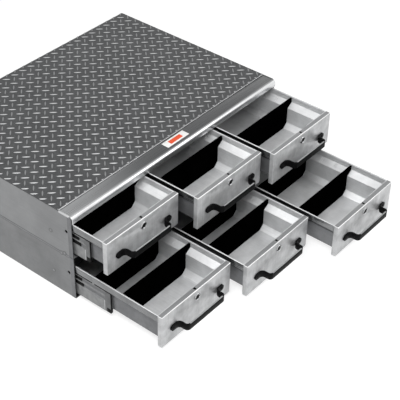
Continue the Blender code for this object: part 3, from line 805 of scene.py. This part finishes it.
def strip_profile():
    """The strip seen from its end: flat, a gentle curve down, the roll and the lip."""
    lead = math.radians(LEAD_TURN)
    setback = LIP_RADIUS + (LEAD_RADIUS - LIP_RADIUS) * math.sin(lead)
    centre = Vector((TRIM_START + setback, TRIM_TOP - LEAD_RADIUS))
    points = [Vector((TRIM_END, TRIM_TOP))]
    for turn in range(0, LEAD_TURN, LEAD_STEP):
        angle = math.radians(turn)
        points.append(centre + LEAD_RADIUS * Vector((-math.sin(angle), math.cos(angle))))
    centre += (LEAD_RADIUS - LIP_RADIUS) * Vector((-math.sin(lead), math.cos(lead)))
    for turn in range(LEAD_TURN, 91, ROLL_STEP):
        angle = math.radians(turn)
        points.append(centre + LIP_RADIUS * Vector((-math.sin(angle), math.cos(angle))))
    return [*points, Vector((TRIM_START, LIP_END))]


def make_top_strip():
    """The smooth strip on the top's front edge, rolled over into a lip, its ends folded down the sides."""
    reach = HALF_WIDTH - TRIM_END_GAP
    sheet = sheet_mesh("top_strip", strip_profile(), along_x, (-reach, reach))
    mesh = finished(worked(sheet, SHEET, -1, 2 * SHEAR_EDGE), STRIP_METAL)
    add_piece("top_strip", mesh, "cabinet", stands_for=["front_trim"])
    outer = HALF_WIDTH + END_FLANGE_SHEET
    start = TRIM_START + LIP_RADIUS + SHEET
    for side, sign in SIDES:
        level = TRIM_TOP + SHEAR_EDGE / 2
        corners = [(HALF_WIDTH - END_FLANGE[0], level), (outer, level), (outer, TRIM_TOP - END_FLANGE[1])]
        path = [Vector((sign * point.x, point.y)) for point in rounded_path(corners, SHELL_FOLD, 6)]
        fold = sheet_mesh("strip_end", path, along_y, (start, TRIM_END))
        # The folded ends are pale: painted highlight on the bend.
        mesh = finished(worked(fold, END_FLANGE_SHEET, sign, SHEAR_EDGE / 2), EDGE_HIGHLIGHT_METAL)
        add_piece(f"strip_end_{side}", mesh, "cabinet")


def make_joint_bead():
    """A bright bead where the tread plate meets the strip: painted highlight along that edge."""
    low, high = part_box("tread_plate")
    turns = [math.radians(turn) for turn in range(0, 181, 20)]
    half = BEAD_WIDTH / 2
    path = [(low.y + half - math.cos(turn) * half, high.z + BEAD_HEIGHT * math.sin(turn)) for turn in turns]
    bead = sheet_mesh("joint_bead", path, along_x, (low.x, high.x))
    add_piece("joint_bead", finished(worked(bead, SHEET / 4, 1), EDGE_HIGHLIGHT_METAL), "cabinet")


def lozenge_mesh():
    """One raised lozenge, long along X, its ends pointed and its crest rounded."""
    half_length = LOZENGE_LENGTH / 2
    half_width = LOZENGE_WIDTH / 2
    grid = bmesh.new()
    rows = []
    for index in range(1, LOZENGE_STEPS):
        share = math.cos(math.pi * index / LOZENGE_STEPS)
        spread = half_width * (1 - share * share) ** LOZENGE_BLUNTNESS
        crest = LOZENGE_HEIGHT * (1 - share ** CREST_FADE[0]) ** CREST_FADE[1]
        row = []
        for side in LOZENGE_SIDES:
            level = crest * (1 - abs(side) ** CREST_ROUND) - LOZENGE_SINK * abs(side) ** SINK_START
            row.append(grid.verts.new((-share * half_length, side * spread, level)))
        rows.append(row)
    bridge(grid, rows)
    for row, sign in ((rows[0], -1), (rows[-1], 1)):
        tip = grid.verts.new((sign * half_length, 0, -LOZENGE_SINK))
        for left, right in zip(row, row[1:]):
            grid.faces.new((tip, left, right) if sign < 0 else (tip, right, left))
    rim = [row[0] for row in rows] + [row[-1] for row in reversed(rows)]
    tips = [vert for vert in grid.verts if vert not in [v for row in rows for v in row]]
    grid.faces.new([tips[0], *rim[:len(rows)], tips[1], *rim[len(rows):]])
    bmesh.ops.recalc_face_normals(grid, faces=grid.faces)
    return mesh_of("lozenge", grid)


def make_lozenges():
    """The tread pattern: each lozenge at 45 degrees, every second one turned the other way."""
    one = lozenge_mesh()
    low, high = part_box("tread_plate")
    low.y += BEAD_WIDTH
    edges = (
        ((low.x, 0, 0), (-1, 0, 0)), ((high.x, 0, 0), (1, 0, 0)),
        ((0, low.y, 0), (0, -1, 0)), ((0, high.y, 0), (0, 1, 0)))
    # Lozenges turned one way get the paler crests: painted highlight.
    for name, turned, finish in (("bright", 0, TREAD_HIGHLIGHT), ("dull", 1, TREAD_METAL)):
        grid = bmesh.new()
        turn = math.radians(45 if turned else -45)
        start_x = -HALF_WIDTH + LOZENGE_FIRST[0] + turned * LOZENGE_PITCH[0] / 2
        start_y = FRONT_PLANE + LOZENGE_FIRST[1] + turned * LOZENGE_PITCH[1] / 2
        for column in range(int((high.x - start_x) / LOZENGE_PITCH[0]) + 2):
            for row in range(int((high.y - start_y) / LOZENGE_PITCH[1]) + 2):
                place = (start_x + column * LOZENGE_PITCH[0], start_y + row * LOZENGE_PITCH[1], TREAD_TOP)
                grid.from_mesh(moved(one, place, turn))
        for where, outwards in edges:
            everything = grid.verts[:] + grid.edges[:] + grid.faces[:]
            cut = bmesh.ops.bisect_plane(
                grid, geom=everything, plane_co=where, plane_no=outwards, clear_outer=True)
            rim = [part for part in cut["geom_cut"] if isinstance(part, bmesh.types.BMEdge)]
            bmesh.ops.holes_fill(grid, edges=rim, sides=0)
        mesh = finished(mesh_of("tread_lozenges", grid), finish, smooth=60)
        add_piece(f"{name}_tread_lozenges", mesh, "cabinet")
    refinish("tread_plate", TREAD_METAL, 2 * SHEAR_EDGE)


def make_label():
    """A small white film label on the strip, with a plain orange block in place of any print."""
    low = Vector((-HALF_WIDTH + LABEL_LOW[0], FRONT_PLANE + LABEL_LOW[1], TRIM_TOP))
    high = low + Vector((*LABEL_SIZE, LABEL_THICKNESS))
    film = block_mesh("label", low, high, LABEL_THICKNESS / 3)
    add_piece("label", finished(film, LABEL_FILM), "cabinet")
    inset = Vector((*LABEL_PRINT_MARGIN, LABEL_THICKNESS))
    ink_high = high - Vector((*LABEL_PRINT_MARGIN, -LABEL_THICKNESS / 3))
    ink = block_mesh("label_print", low + inset, ink_high)
    add_piece("label_print", finished(ink, LABEL_PRINT), "cabinet")


def channel_mesh(name, side, points, stations):
    """A slide member: insets and rises of its outer skin from top lip to bottom lip, drawn out along Y."""
    path = [(side * (HALF_FRONT - inset), SLIDE_RISE + rise) for inset, rise in points]
    if side < 0:
        path.reverse()
    strip = sheet_mesh(name, rounded_path(path, MEMBER_BEND, 3), along_y, stations)
    return worked(strip, SLIDE_SHEET, -1, SHEAR_EDGE)


def make_rails():
    """The fixed slide members on the casing's sides."""
    points = [
        (RAIL_LIP, RAIL_HALF_HEIGHT), (RAIL_WEB, RAIL_HALF_HEIGHT),
        (RAIL_WEB, -RAIL_HALF_HEIGHT), (RAIL_LIP, -RAIL_HALF_HEIGHT)]
    for column, side in SIDES:
        mesh = channel_mesh(f"rail_{column}", side, points, (0.0, RAIL_LENGTH))
        finished(mesh, SLIDE_STEEL)
        for row in ("upper", "lower"):
            origin = drawer_origin(f"{row}_{column}")
            origin.y = FRONT_PLANE + RAIL_START
            add_piece(f"{row}_{column}_fixed_rail", mesh, "cabinet", origin)


def make_cabinet():
    """Everything that stands still."""
    make_shell("lower_shell", "lower_casing", "lower", CASING_LOWER)
    make_shell("upper_shell", "upper_casing", "upper", CASING_UPPER, TOP_FLANGE)
    make_side_rivets()
    make_seam_bead()
    make_back_rivets()
    make_top_strip()
    make_joint_bead()
    make_lozenges()
    make_label()
    make_rails()
    refinish("back_panel", CASING_UPPER, SHEAR_EDGE)
    # The partitions take a darker tone: painted shade in the gaps between drawers.
    refinish("partition_left", SHADE_METAL, SHEAR_EDGE)
    refinish("partition_right", SHADE_METAL, SHEAR_EDGE)
    refinish("mid_rail", RAIL_PAINT, SHEAR_EDGE)
    # The sill's black stands in for the shade under the drawers: painted shade.
    refinish("sill_strip", SILL_SHADE, 3 * SHEAR_EDGE)


# Drawer


def drawer_origin(place):
    """The middle of the bottom edge of a drawer's front, at rest."""
    low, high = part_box(f"{place}_front")
    return Vector(((low.x + high.x) / 2, low.y, low.z))


def front_mesh():
    """The drawer front: a pan folded from one sheet, with a lock hole and a notch in its top flange."""
    grid = block_grid((-HALF_FRONT, 0, 0), (HALF_FRONT, FRONT_DEPTH, FRONT_HEIGHT))
    back = [face for face in grid.faces if face.normal.y > 0.5]
    bmesh.ops.delete(grid, geom=back, context="FACES_ONLY")
    folds = [edge for edge in grid.edges if len(edge.link_faces) == 2]
    bmesh.ops.bevel(
        grid, geom=folds, offset=FRONT_RADIUS, segments=5, profile=0.5, affect="EDGES", material=1)
    # Only the folds along the top keep the near-white second finish, a painted highlight.
    for face in grid.faces:
        if face.calc_center_median().z < FRONT_HEIGHT - FRONT_RADIUS:
            face.material_index = 0
    pan = mesh_of("front", grid)
    for _ in range(2):
        pan.materials.append(None)
    hole = moved(cylinder_mesh(LOCK_BODY_RADIUS + WALL_GAP, -SHEET, 2 * SHEET, "Y"), (0, 0, LOCK_RISE))
    half = NOTCH_WIDTH / 2
    low = (-half, NOTCH_START, FRONT_HEIGHT - 2 * SHEET)
    notch = block_mesh("notch", low, (half, 2 * FRONT_DEPTH, FRONT_HEIGHT + SHEET))
    return finished(worked(pan, FRONT_SHEET, -1, SHEAR_EDGE, [hole, notch]), PAN_METAL, FOLD_HIGHLIGHT)


def latch_pad_mesh():
    """The black pad under the notch in the front's top flange: painted shade seen through the notch."""
    half = NOTCH_WIDTH / 2 + SHEET
    top = FRONT_HEIGHT - FRONT_SHEET - WALL_GAP / 2
    low = (-half, NOTCH_START - SHEET, top - PAD_HEIGHT)
    return finished(block_mesh("latch_pad", low, (half, FRONT_DEPTH, top), SHEAR_EDGE), NYLON_AND_SHADE)


def tray_half():
    """The inner surface of half a tray, from its floor out to the hanging band."""
    return [
        (HALF_FRONT - FLOOR_INSET, FLOOR_RISE),
        (HALF_FRONT - WALL_INSET, CHAMFER_RISE),
        (HALF_FRONT - WALL_INSET, SLOPE_RISE),
        (HALF_FRONT - RIM_INSET, RIM_WALL_RISE),
        (HALF_FRONT - RIM_INSET, FRONT_HEIGHT),
        (HALF_FRONT, FRONT_HEIGHT),
        (HALF_FRONT, BAND_RISE),
    ]


def liner_mesh():
    """The tray's liner: floor, chamfers, walls, slopes, rim and hanging band folded from one sheet."""
    half = tray_half()
    corners = [(-x, z) for x, z in reversed(half)] + half
    path = rounded_path(corners, TRAY_BEND, 5)
    strip = sheet_mesh("liner", path, along_y, (TRAY_START, TRAY_END))
    mesh = finished(worked(strip, SHEET, -1, SHEAR_EDGE), TRAY_METAL, BAND_SHADE_METAL)
    # Outer faces of the band take a darker tone than the inside of the same sheet: painted shade.
    for face in mesh.polygons:
        if abs(face.center.x) > HALF_FRONT - SHEAR_EDGE and abs(face.normal.z) < BAND_SLANT:
            face.material_index = 1
    return mesh


def tray_point(rise):
    """A point on the inner surface of the tray's right wall at a rise, and the way inwards there."""
    half = tray_half()
    for low, high in zip(half, half[1:5]):
        if low[1] <= rise <= high[1]:
            run = Vector(high) - Vector(low)
            share = (rise - low[1]) / run.y
            return Vector(low) + run * share, Vector((-run.y, run.x)).normalized()
    return Vector(half[0]), Vector((0, 1))


def rib_mesh(rises):
    """A pressed rib on the tray's right wall between two rises, half round and fading at its ends."""
    grid = bmesh.new()
    rows = []
    for step in range(RIB_STEPS + 1):
        share = step / RIB_STEPS
        at, inwards = tray_point(rises[0] + (rises[1] - rises[0]) * share)
        swell = max(RIB_LEAST, math.sin(math.pi * share) ** RIB_FADE)
        row = []
        for across, height in RIB_SECTION:
            point = at + inwards * (RIB_HEIGHT * height * swell - RIB_SINK)
            row.append(grid.verts.new((point.x, across * RIB_WIDTH / 2, point.y)))
        rows.append(row)
    bridge(grid, [row + row[:1] for row in rows])
    grid.faces.new(rows[0])
    grid.faces.new(rows[-1])
    bmesh.ops.recalc_face_normals(grid, faces=grid.faces)
    return mesh_of("rib", grid)


def ribs_mesh():
    """All the pressed ribs of one tray: a pair at each place where a divider can stand."""
    right = merged("pair", [rib_mesh(UPPER_RIB), rib_mesh(LOWER_RIB)])
    away = RIB_CLEARANCE + RIB_WIDTH / 2
    grid = bmesh.new()
    for index in range(DIVIDER_PLACES):
        start = DIVIDER_FIRST + index * DIVIDER_PITCH
        for at in (start - away, start + DIVIDER_THICKNESS + away):
            grid.from_mesh(moved(right, (0, at, 0)))
            grid.from_mesh(moved(right, (0, at, 0), math.pi))
    return finished(mesh_of("ribs", grid), TRAY_METAL, smooth=60)


def end_wall_mesh(start, window):
    """A flat wall that closes one end of the tray; the front one has a window for the lock's cam."""
    half = [*tray_half()[:4], (HALF_FRONT - RIM_INSET, END_WALL_TOP)]
    outline = [(-x, z) for x, z in reversed(half)] + half
    cuts = []
    if window:
        low = (CAM_WINDOW[0], start - SHEET, LOCK_RISE - CAM_WINDOW_DROP)
        cuts = [block_mesh("window", low, (CAM_WINDOW[1], start + 2 * SHEET, FRONT_HEIGHT + SHEET))]
    wall = plate_mesh("end_wall", outline, start, start + SHEET)
    return finished(worked(wall, 0, 1, SHEAR_EDGE, cuts), TRAY_METAL)


def skin_mesh(side):
    """The tray's flat outer skin, which carries the runner bar."""
    insets = (SKIN_INSET, SKIN_INSET + SKIN_THICKNESS)
    stations = (TRAY_START + WALL_GAP, TRAY_END - WALL_GAP)
    # The skin takes the band's darker tone: painted shade on the tray's outside.
    return finished(side_block("skin", side, insets, stations, (SKIN_RISE, SKIN_TOP)), BAND_SHADE_METAL)


def runner_mesh(side):
    """The flat bar on the skin that runs inside the floating member."""
    stations = (RUNNER_START, RUNNER_START + SLIDE_LENGTH)
    return finished(side_block("runner", side, RUNNER_INSETS, stations, RUNNER_RISES), SKIN_AND_SHADE_METAL)


def handle_path():
    """The middle line of the flat bar, seen from above: foot, arm, grip, arm and foot."""
    foot = -HANDLE_GAP - HANDLE_THICKNESS / 2
    grip = -HANDLE_REACH + HANDLE_THICKNESS / 2
    tip = HANDLE_HALF_SPAN
    midway = (-HANDLE_ARM, grip / 2)
    root = rounded_path([(-tip, foot), (-HANDLE_ARM, foot), midway], HANDLE_ROOT_RADIUS, 10)
    bend = rounded_path([midway, (-HANDLE_ARM, grip), (0, grip)], HANDLE_CORNER_RADIUS, 10)
    radius = HANDLE_HEIGHT / 2
    turns = [math.radians(turn) for turn in range(15, 90, 15)]
    tips = [Vector((-tip + radius * (1 - math.cos(turn)), foot)) for turn in turns]
    left = [root[0], *tips, *root[1:-1], *bend[1:-1]]
    return left + [Vector((-point.x, point.y)) for point in reversed(left)]


def handle_mesh():
    """A bow handle: one flat bar on edge with rounded arrises, bent twice at each end."""
    radius = HANDLE_HEIGHT / 2
    grid = bmesh.new()
    rows = []
    for point in handle_path():
        past = HANDLE_HALF_SPAN - abs(point.x)
        half = radius if past >= radius else math.sqrt(radius ** 2 - (radius - past) ** 2)
        half = max(half, radius * FOOT_TIP)
        rows.append([grid.verts.new((point.x, point.y, level)) for level in (half, -half)])
    bridge(grid, rows)
    bar = worked(mesh_of("handle", grid), HANDLE_THICKNESS, 0, HANDLE_EDGE, limit=60)
    # Upward faces of the grip take a pale grey: painted highlight along its top edge.
    for face in bar.polygons:
        if face.normal.z > HIGHLIGHT_SLANT and abs(face.center.x) < HANDLE_ARM - 3 * HANDLE_THICKNESS:
            face.material_index = 1
    return finished(bar, POWDER_COAT, COAT_HIGHLIGHT)


def handle_screws_mesh():
    """The two screws through the handle's feet."""
    foot = HANDLE_HALF_SPAN - HANDLE_HEIGHT / 2
    face = -HANDLE_GAP - HANDLE_THICKNESS
    heads = [moved(screw_mesh(*SCREW_SIZE), (side * foot, face, 0)) for side in (-1, 1)]
    return finished(merged("screws", heads), NYLON_AND_SHADE)


def lock_barrel_mesh():
    """The lock's fixed barrel: a bevelled flange on the front and a threaded body behind it."""
    profile = [
        (LOCK_BORE_RADIUS, LOCK_FACE + BARREL_CHAMFER),
        (LOCK_BORE_RADIUS + BARREL_CHAMFER, LOCK_FACE),
        *[(LOCK_FACE_RADIUS - inset, LOCK_FACE + depth) for inset, depth in FLANGE_BEVEL],
        (LOCK_FACE_RADIUS, -WALL_GAP),
        (LOCK_BODY_RADIUS, -WALL_GAP),
        (LOCK_BODY_RADIUS, LOCK_END),
        (LOCK_BORE_RADIUS, LOCK_END),
    ]
    return finished(turned_mesh("barrel", profile), LOCK_BRIGHT)


def lock_plug_mesh():
    """The turning plug with its dished face and keyway, near black: painted shade of the lock's recess."""
    dish = [(radius, PLUG_FACE + depth) for radius, depth in PLUG_DISH]
    profile = [*dish, (PLUG_RADIUS, CAM_START), (0.0, CAM_START)]
    half, reach = KEYWAY
    keyway = block_mesh("keyway", (-half, PLUG_FACE - SHEET, -reach), (half, PLUG_FACE + reach, reach))
    return finished(worked(turned_mesh("plug", profile), cuts=[keyway]), LOCK_SHADE)


def cam_mesh():
    """The cam: a flat lever with round ends, held by a nut."""
    half = CAM_HALF_WIDTH
    turns = [math.radians(turn) for turn in range(-90, 91, 15)]
    tip = [(CAM_REACH - half + half * math.cos(turn), half * math.sin(turn)) for turn in turns]
    root = [(-half * math.cos(turn), -half * math.sin(turn)) for turn in turns]
    back = CAM_START + CAM_THICKNESS
    lever = worked(plate_mesh("cam", tip + root, CAM_START, back), 0, 1, SHEAR_EDGE, limit=60)
    nut = cylinder_mesh(NUT[0], back, back + NUT[1], "Y", 6)
    return finished(merged("cam", [lever, nut]), SLIDE_STEEL)


def member_mesh(side):
    """The floating slide member: a channel with two ball grooves painted darker as shade, and a pale front
    end as painted highlight.
    """
    floor = MEMBER_WEB + GROOVE_DEPTH
    relief = []
    for top, bottom in MEMBER_GROOVES:
        relief += [
            (MEMBER_WEB, top), (floor, top - GROOVE_SLOPE),
            (floor, bottom + GROOVE_SLOPE), (MEMBER_WEB, bottom)]
    points = [
        (MEMBER_LIP, MEMBER_TOP), (MEMBER_WEB, MEMBER_TOP), *relief,
        (MEMBER_WEB, -MEMBER_HALF_HEIGHT), (MEMBER_LIP, -MEMBER_HALF_HEIGHT)]
    start = STOP_START + STOP_LENGTH
    edge = start + MEMBER_EDGE
    mesh = channel_mesh("member", side, points, (start, edge, SLIDE_LENGTH))
    below_grooves = MEMBER_GROOVES[-1][1]
    # Faces set back in the grooves take a darker tone, painted shade; a pale band at the front end is painted
    # highlight.
    for face in mesh.polygons:
        rise = face.center.z - SLIDE_RISE
        if rise < below_grooves:
            face.material_index = 2 if face.center.y < edge and rise > -MEMBER_HALF_HEIGHT / 2 else 0
        elif HALF_FRONT - abs(face.center.x) > MEMBER_WEB + GROOVE_SLOPE:
            face.material_index = 1
    return finished(mesh, SLIDE_STEEL, SKIN_AND_SHADE_METAL, PAN_METAL)


def cage_mesh(side, mouth):
    """The black ball cages in the grooves, which begin just in front of the cabinet's mouth at rest."""
    bars = []
    insets = (MEMBER_WEB + WALL_GAP, MEMBER_WEB + GROOVE_DEPTH - WALL_GAP)
    for (top, bottom), reach in zip(MEMBER_GROOVES, CAGE_REACHES):
        stations = (mouth - reach, mouth + CAGE_LENGTH)
        rises = (SLIDE_RISE + bottom + GROOVE_SLOPE, SLIDE_RISE + top - GROOVE_SLOPE)
        bars.append(side_block("cage", side, insets, stations, rises, 3 * SHEAR_EDGE))
    return finished(merged("cages", bars), NYLON_AND_SHADE)


def member_block(name, side, insets, stations, rises, rounding, finish):
    """A small block on a floating member, its rises from the member's middle."""
    levels = [SLIDE_RISE + rise for rise in rises]
    return finished(side_block(name, side, insets, stations, levels, rounding), finish)


def member_stop_mesh(side):
    """The pressed stop at the front end of a floating member."""
    insets = (MEMBER_WEB + SHEAR_EDGE, MEMBER_LIP - SLIDE_SHEET)
    rises = (-MEMBER_HALF_HEIGHT + SLIDE_SHEET, MEMBER_TOP)
    return member_block(
        "stop", side, insets, (STOP_START, STOP_START + STOP_LENGTH), rises, 2 * SHEAR_EDGE, STOP_STEEL)


def member_bumper_mesh(side):
    """The black buffer in front of the stop, partly a buffer and partly painted shade at the member's end."""
    insets = (MEMBER_WEB + SHEAR_EDGE, MEMBER_WEB + BUMPER_DEPTH)
    rises = (-MEMBER_HALF_HEIGHT + 3 * SLIDE_SHEET, MEMBER_TOP)
    return member_block(
        "bumper", side, insets, (STOP_START - BUMPER_LENGTH, STOP_START), rises, SHEAR_EDGE, NYLON_AND_SHADE)


def member_foot_mesh(side):
    """The buffer's foot, folded back under the stop."""
    insets = (MEMBER_WEB + SHEAR_EDGE / 2, MEMBER_LIP - 2 * SLIDE_SHEET)
    low = -MEMBER_HALF_HEIGHT + SLIDE_SHEET
    stations = (STOP_START - BUMPER_LENGTH / 2, STOP_START + BUFFER_FOOT[0])
    return member_block("foot", side, insets, stations, (low, low + BUFFER_FOOT[1]), SHEAR_EDGE, NYLON_AND_SHADE)


def member_strip_mesh(side):
    """A black strip on the member's top lip, out over the fixed rail to the band: painted shade under the
    band.
    """
    outline = [(side * (HALF_FRONT - inset * MM), SLIDE_RISE + rise * MM) for inset, rise in STRIP_OUTLINE]
    strip = plate_mesh("strip", outline, STOP_START - BUMPER_LENGTH, SLIDE_LENGTH - STOP_LENGTH)
    return finished(strip, NYLON_AND_SHADE)


def member_clip_mesh(side):
    """The small steel clip round the black strip."""
    return member_block("clip", side, CLIP_INSETS, CLIP_STATIONS, CLIP_RISES, SHEAR_EDGE, SLIDE_STEEL)


def make_drawers():
    """Every drawer's pieces, each mesh shared by all six drawers."""
    wall_start = TRAY_START + WALL_GAP
    back_start = TRAY_END - SHEET - WALL_GAP
    drawer_pieces = [
        ("front_pan", front_mesh(), "front", ["front"]),
        ("latch_pad", latch_pad_mesh(), "front", []),
        ("tray_liner", liner_mesh(), "tray", ["tray"]),
        ("tray_ribs", ribs_mesh(), "tray", []),
        ("tray_front_wall", end_wall_mesh(wall_start, True), "tray", []),
        ("tray_back_wall", end_wall_mesh(back_start, False), "tray", []),
        *[(f"tray_skin_{side}", skin_mesh(sign), "tray", []) for side, sign in SIDES],
        *[(f"runner_{side}", runner_mesh(sign), "slide", []) for side, sign in SIDES],
        ("bow_handle", handle_mesh(), "handle", ["handle"]),
        ("handle_screws", handle_screws_mesh(), "handle", []),
    ]
    barrel = lock_barrel_mesh()
    plug = lock_plug_mesh()
    cam = cam_mesh()
    extras = (
        ("stop", member_stop_mesh), ("bumper", member_bumper_mesh), ("foot", member_foot_mesh),
        ("strip", member_strip_mesh), ("clip", member_clip_mesh))
    members = {side: member_mesh(sign) for side, sign in SIDES}
    fittings = {side: [(name, build(sign)) for name, build in extras] for side, sign in SIDES}
    for place in PLACES:
        origin = drawer_origin(place)
        body = f"{place}_drawer"
        raised = origin + Vector((0, 0, HANDLE_RISE))
        for name, mesh, slot, nodes in drawer_pieces:
            start = raised if slot == "handle" else origin
            add_piece(f"{place}_{name}", mesh, body, start, [f"{place}_{node}" for node in nodes])
        lock = origin + Vector((0, 0, LOCK_RISE))
        add_piece(f"{place}_lock_barrel", barrel, body, lock, [f"{place}_lock_case"])
        add_piece(f"{place}_plug_core", plug, f"{place}_lock", lock, [f"{place}_lock_plug"])
        add_piece(f"{place}_lock_cam", cam, f"{place}_lock", lock)
        floating = origin.copy()
        floating.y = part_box(f"{place}_carriage_left")[0].y
        for side, member in members.items():
            node = f"{place}_carriage_{side}"
            add_piece(f"{place}_slide_member_{side}", member, f"{place}_carriage", floating, [node])
            cages = cage_mesh(-1 if side == "left" else 1, FRONT_PLANE - floating.y)
            add_piece(f"{place}_ball_cages_{side}", cages, f"{place}_carriage", floating)
            fitted = floating + Vector((0, STOP_SHIFTS[place.split("_")[0]], 0))
            for name, mesh in fittings[side]:
                add_piece(f"{place}_slide_{name}_{side}", mesh, f"{place}_carriage", fitted)
        for node in (f"{place}_front_divider", f"{place}_rear_divider"):
            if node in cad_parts:
                refinish(node, DIVIDER_SHEET, SHEAR_EDGE)


# Studio


def make_floor():
    """A plain white floor that keeps the unit's shadow."""
    material, tree, shader = new_finish("studio_floor_paint", 0.9, Specular_IOR_Level=0.0)
    tones = {COLOUR_A: linear("#d8d8d8"), COLOUR_B: linear("#b4b4b4")}
    seen = background_rays(tree)
    tone = add(tree, "ShaderNodeMix", tones, {0: seen}, data_type="RGBA")
    tree.links.new(tone.outputs[COLOUR_RESULT], shader.inputs["Base Color"])
    strength = add(tree, "ShaderNodeMath", {1: FLOOR_GLOW}, {0: seen}, operation="MULTIPLY")
    glow = add(tree, "ShaderNodeEmission", {"Color": linear("#ffffff")}, {"Strength": strength.outputs[0]})
    both = add(tree, "ShaderNodeAddShader", None, {0: shader.outputs[0], 1: glow.outputs[0]})
    tree.links.new(both.outputs[0], tree.nodes["Material Output"].inputs["Surface"])
    grid = bmesh.new()
    bmesh.ops.create_grid(grid, x_segments=1, y_segments=1, size=FLOOR_HALF)
    mesh = mesh_of("floor", grid)
    mesh.materials.append(material)
    floor = placed("floor", mesh)
    floor.location = (0, 0, -FLOOR_DROP)


def background_rays(tree):
    """1 for rays that come from the camera, a mirror or glass, which see the background as white."""
    path = add(tree, "ShaderNodeLightPath")
    links = {0: path.outputs["Is Camera Ray"], 1: path.outputs["Is Glossy Ray"]}
    first = add(tree, "ShaderNodeMath", None, links, operation="MAXIMUM")
    links = {0: first.outputs[0], 1: path.outputs["Is Transmission Ray"]}
    return add(tree, "ShaderNodeMath", None, links, operation="MAXIMUM").outputs[0]


def make_world():
    """White to the eye and to metal, and softer as a light."""
    world = bpy.data.worlds.new("studio")
    world.use_nodes = True
    bpy.context.scene.world = world
    tree = world.node_tree
    soft = tree.nodes["Background"]
    soft.inputs["Color"].default_value = linear("#ffffff")
    soft.inputs["Strength"].default_value = WORLD_SOFTNESS
    white = add(tree, "ShaderNodeBackground", {"Color": linear("#ffffff"), "Strength": 1.0})
    links = {0: background_rays(tree), 1: soft.outputs[0], 2: white.outputs[0]}
    seen = add(tree, "ShaderNodeMixShader", None, links)
    tree.links.new(seen.outputs[0], tree.nodes["World Output"].inputs["Surface"])


def add_softbox(name, size, power, place):
    """A square area lamp that points at the unit."""
    data = bpy.data.lights.new(name, "AREA")
    data.shape = "SQUARE"
    data.size = size
    data.energy = power
    lamp = placed(name, data)
    lamp.location = place
    lamp.rotation_mode = "QUATERNION"
    lamp.rotation_quaternion = (Vector(LAMP_AIM) - Vector(place)).to_track_quat("-Z", "Y")


def make_lamps():
    """A softbox overhead for the shadow and the crests, and a larger one at the front right."""
    for name, size, power, place in SOFTBOXES:
        add_softbox(name, size, power, place)


def make_camera():
    """The picture's own view: place, direction, roll and lens come from a fit to the unit's edges."""
    azimuth, elevation, roll = (math.radians(a) for a in (CAMERA_AZIMUTH, CAMERA_ELEVATION, CAMERA_ROLL))
    level = math.cos(elevation)
    back = Vector((math.sin(azimuth) * level, -math.cos(azimuth) * level, math.sin(elevation)))
    right = Vector((math.cos(azimuth), math.sin(azimuth), 0))
    up = back.cross(right)
    turned_right = math.cos(roll) * right + math.sin(roll) * up
    turned_up = math.cos(roll) * up - math.sin(roll) * right
    data = bpy.data.cameras.new("camera")
    data.sensor_width = SENSOR
    data.lens = SENSOR * FOCAL_PIXELS / PICTURE
    data.shift_x = (PICTURE / 2 - PICTURE_CENTRE[0]) / PICTURE
    data.shift_y = (PICTURE_CENTRE[1] - PICTURE / 2) / PICTURE
    camera = placed("camera", data)
    facing = Matrix((turned_right, turned_up, back)).transposed().to_4x4()
    camera.matrix_world = Matrix.Translation(CAMERA_PLACE) @ facing
    bpy.context.scene.camera = camera


bpy.context.scene.view_settings.view_transform = "Standard"
make_camera()
make_cabinet()
make_drawers()
make_floor()
make_world()
make_lamps()
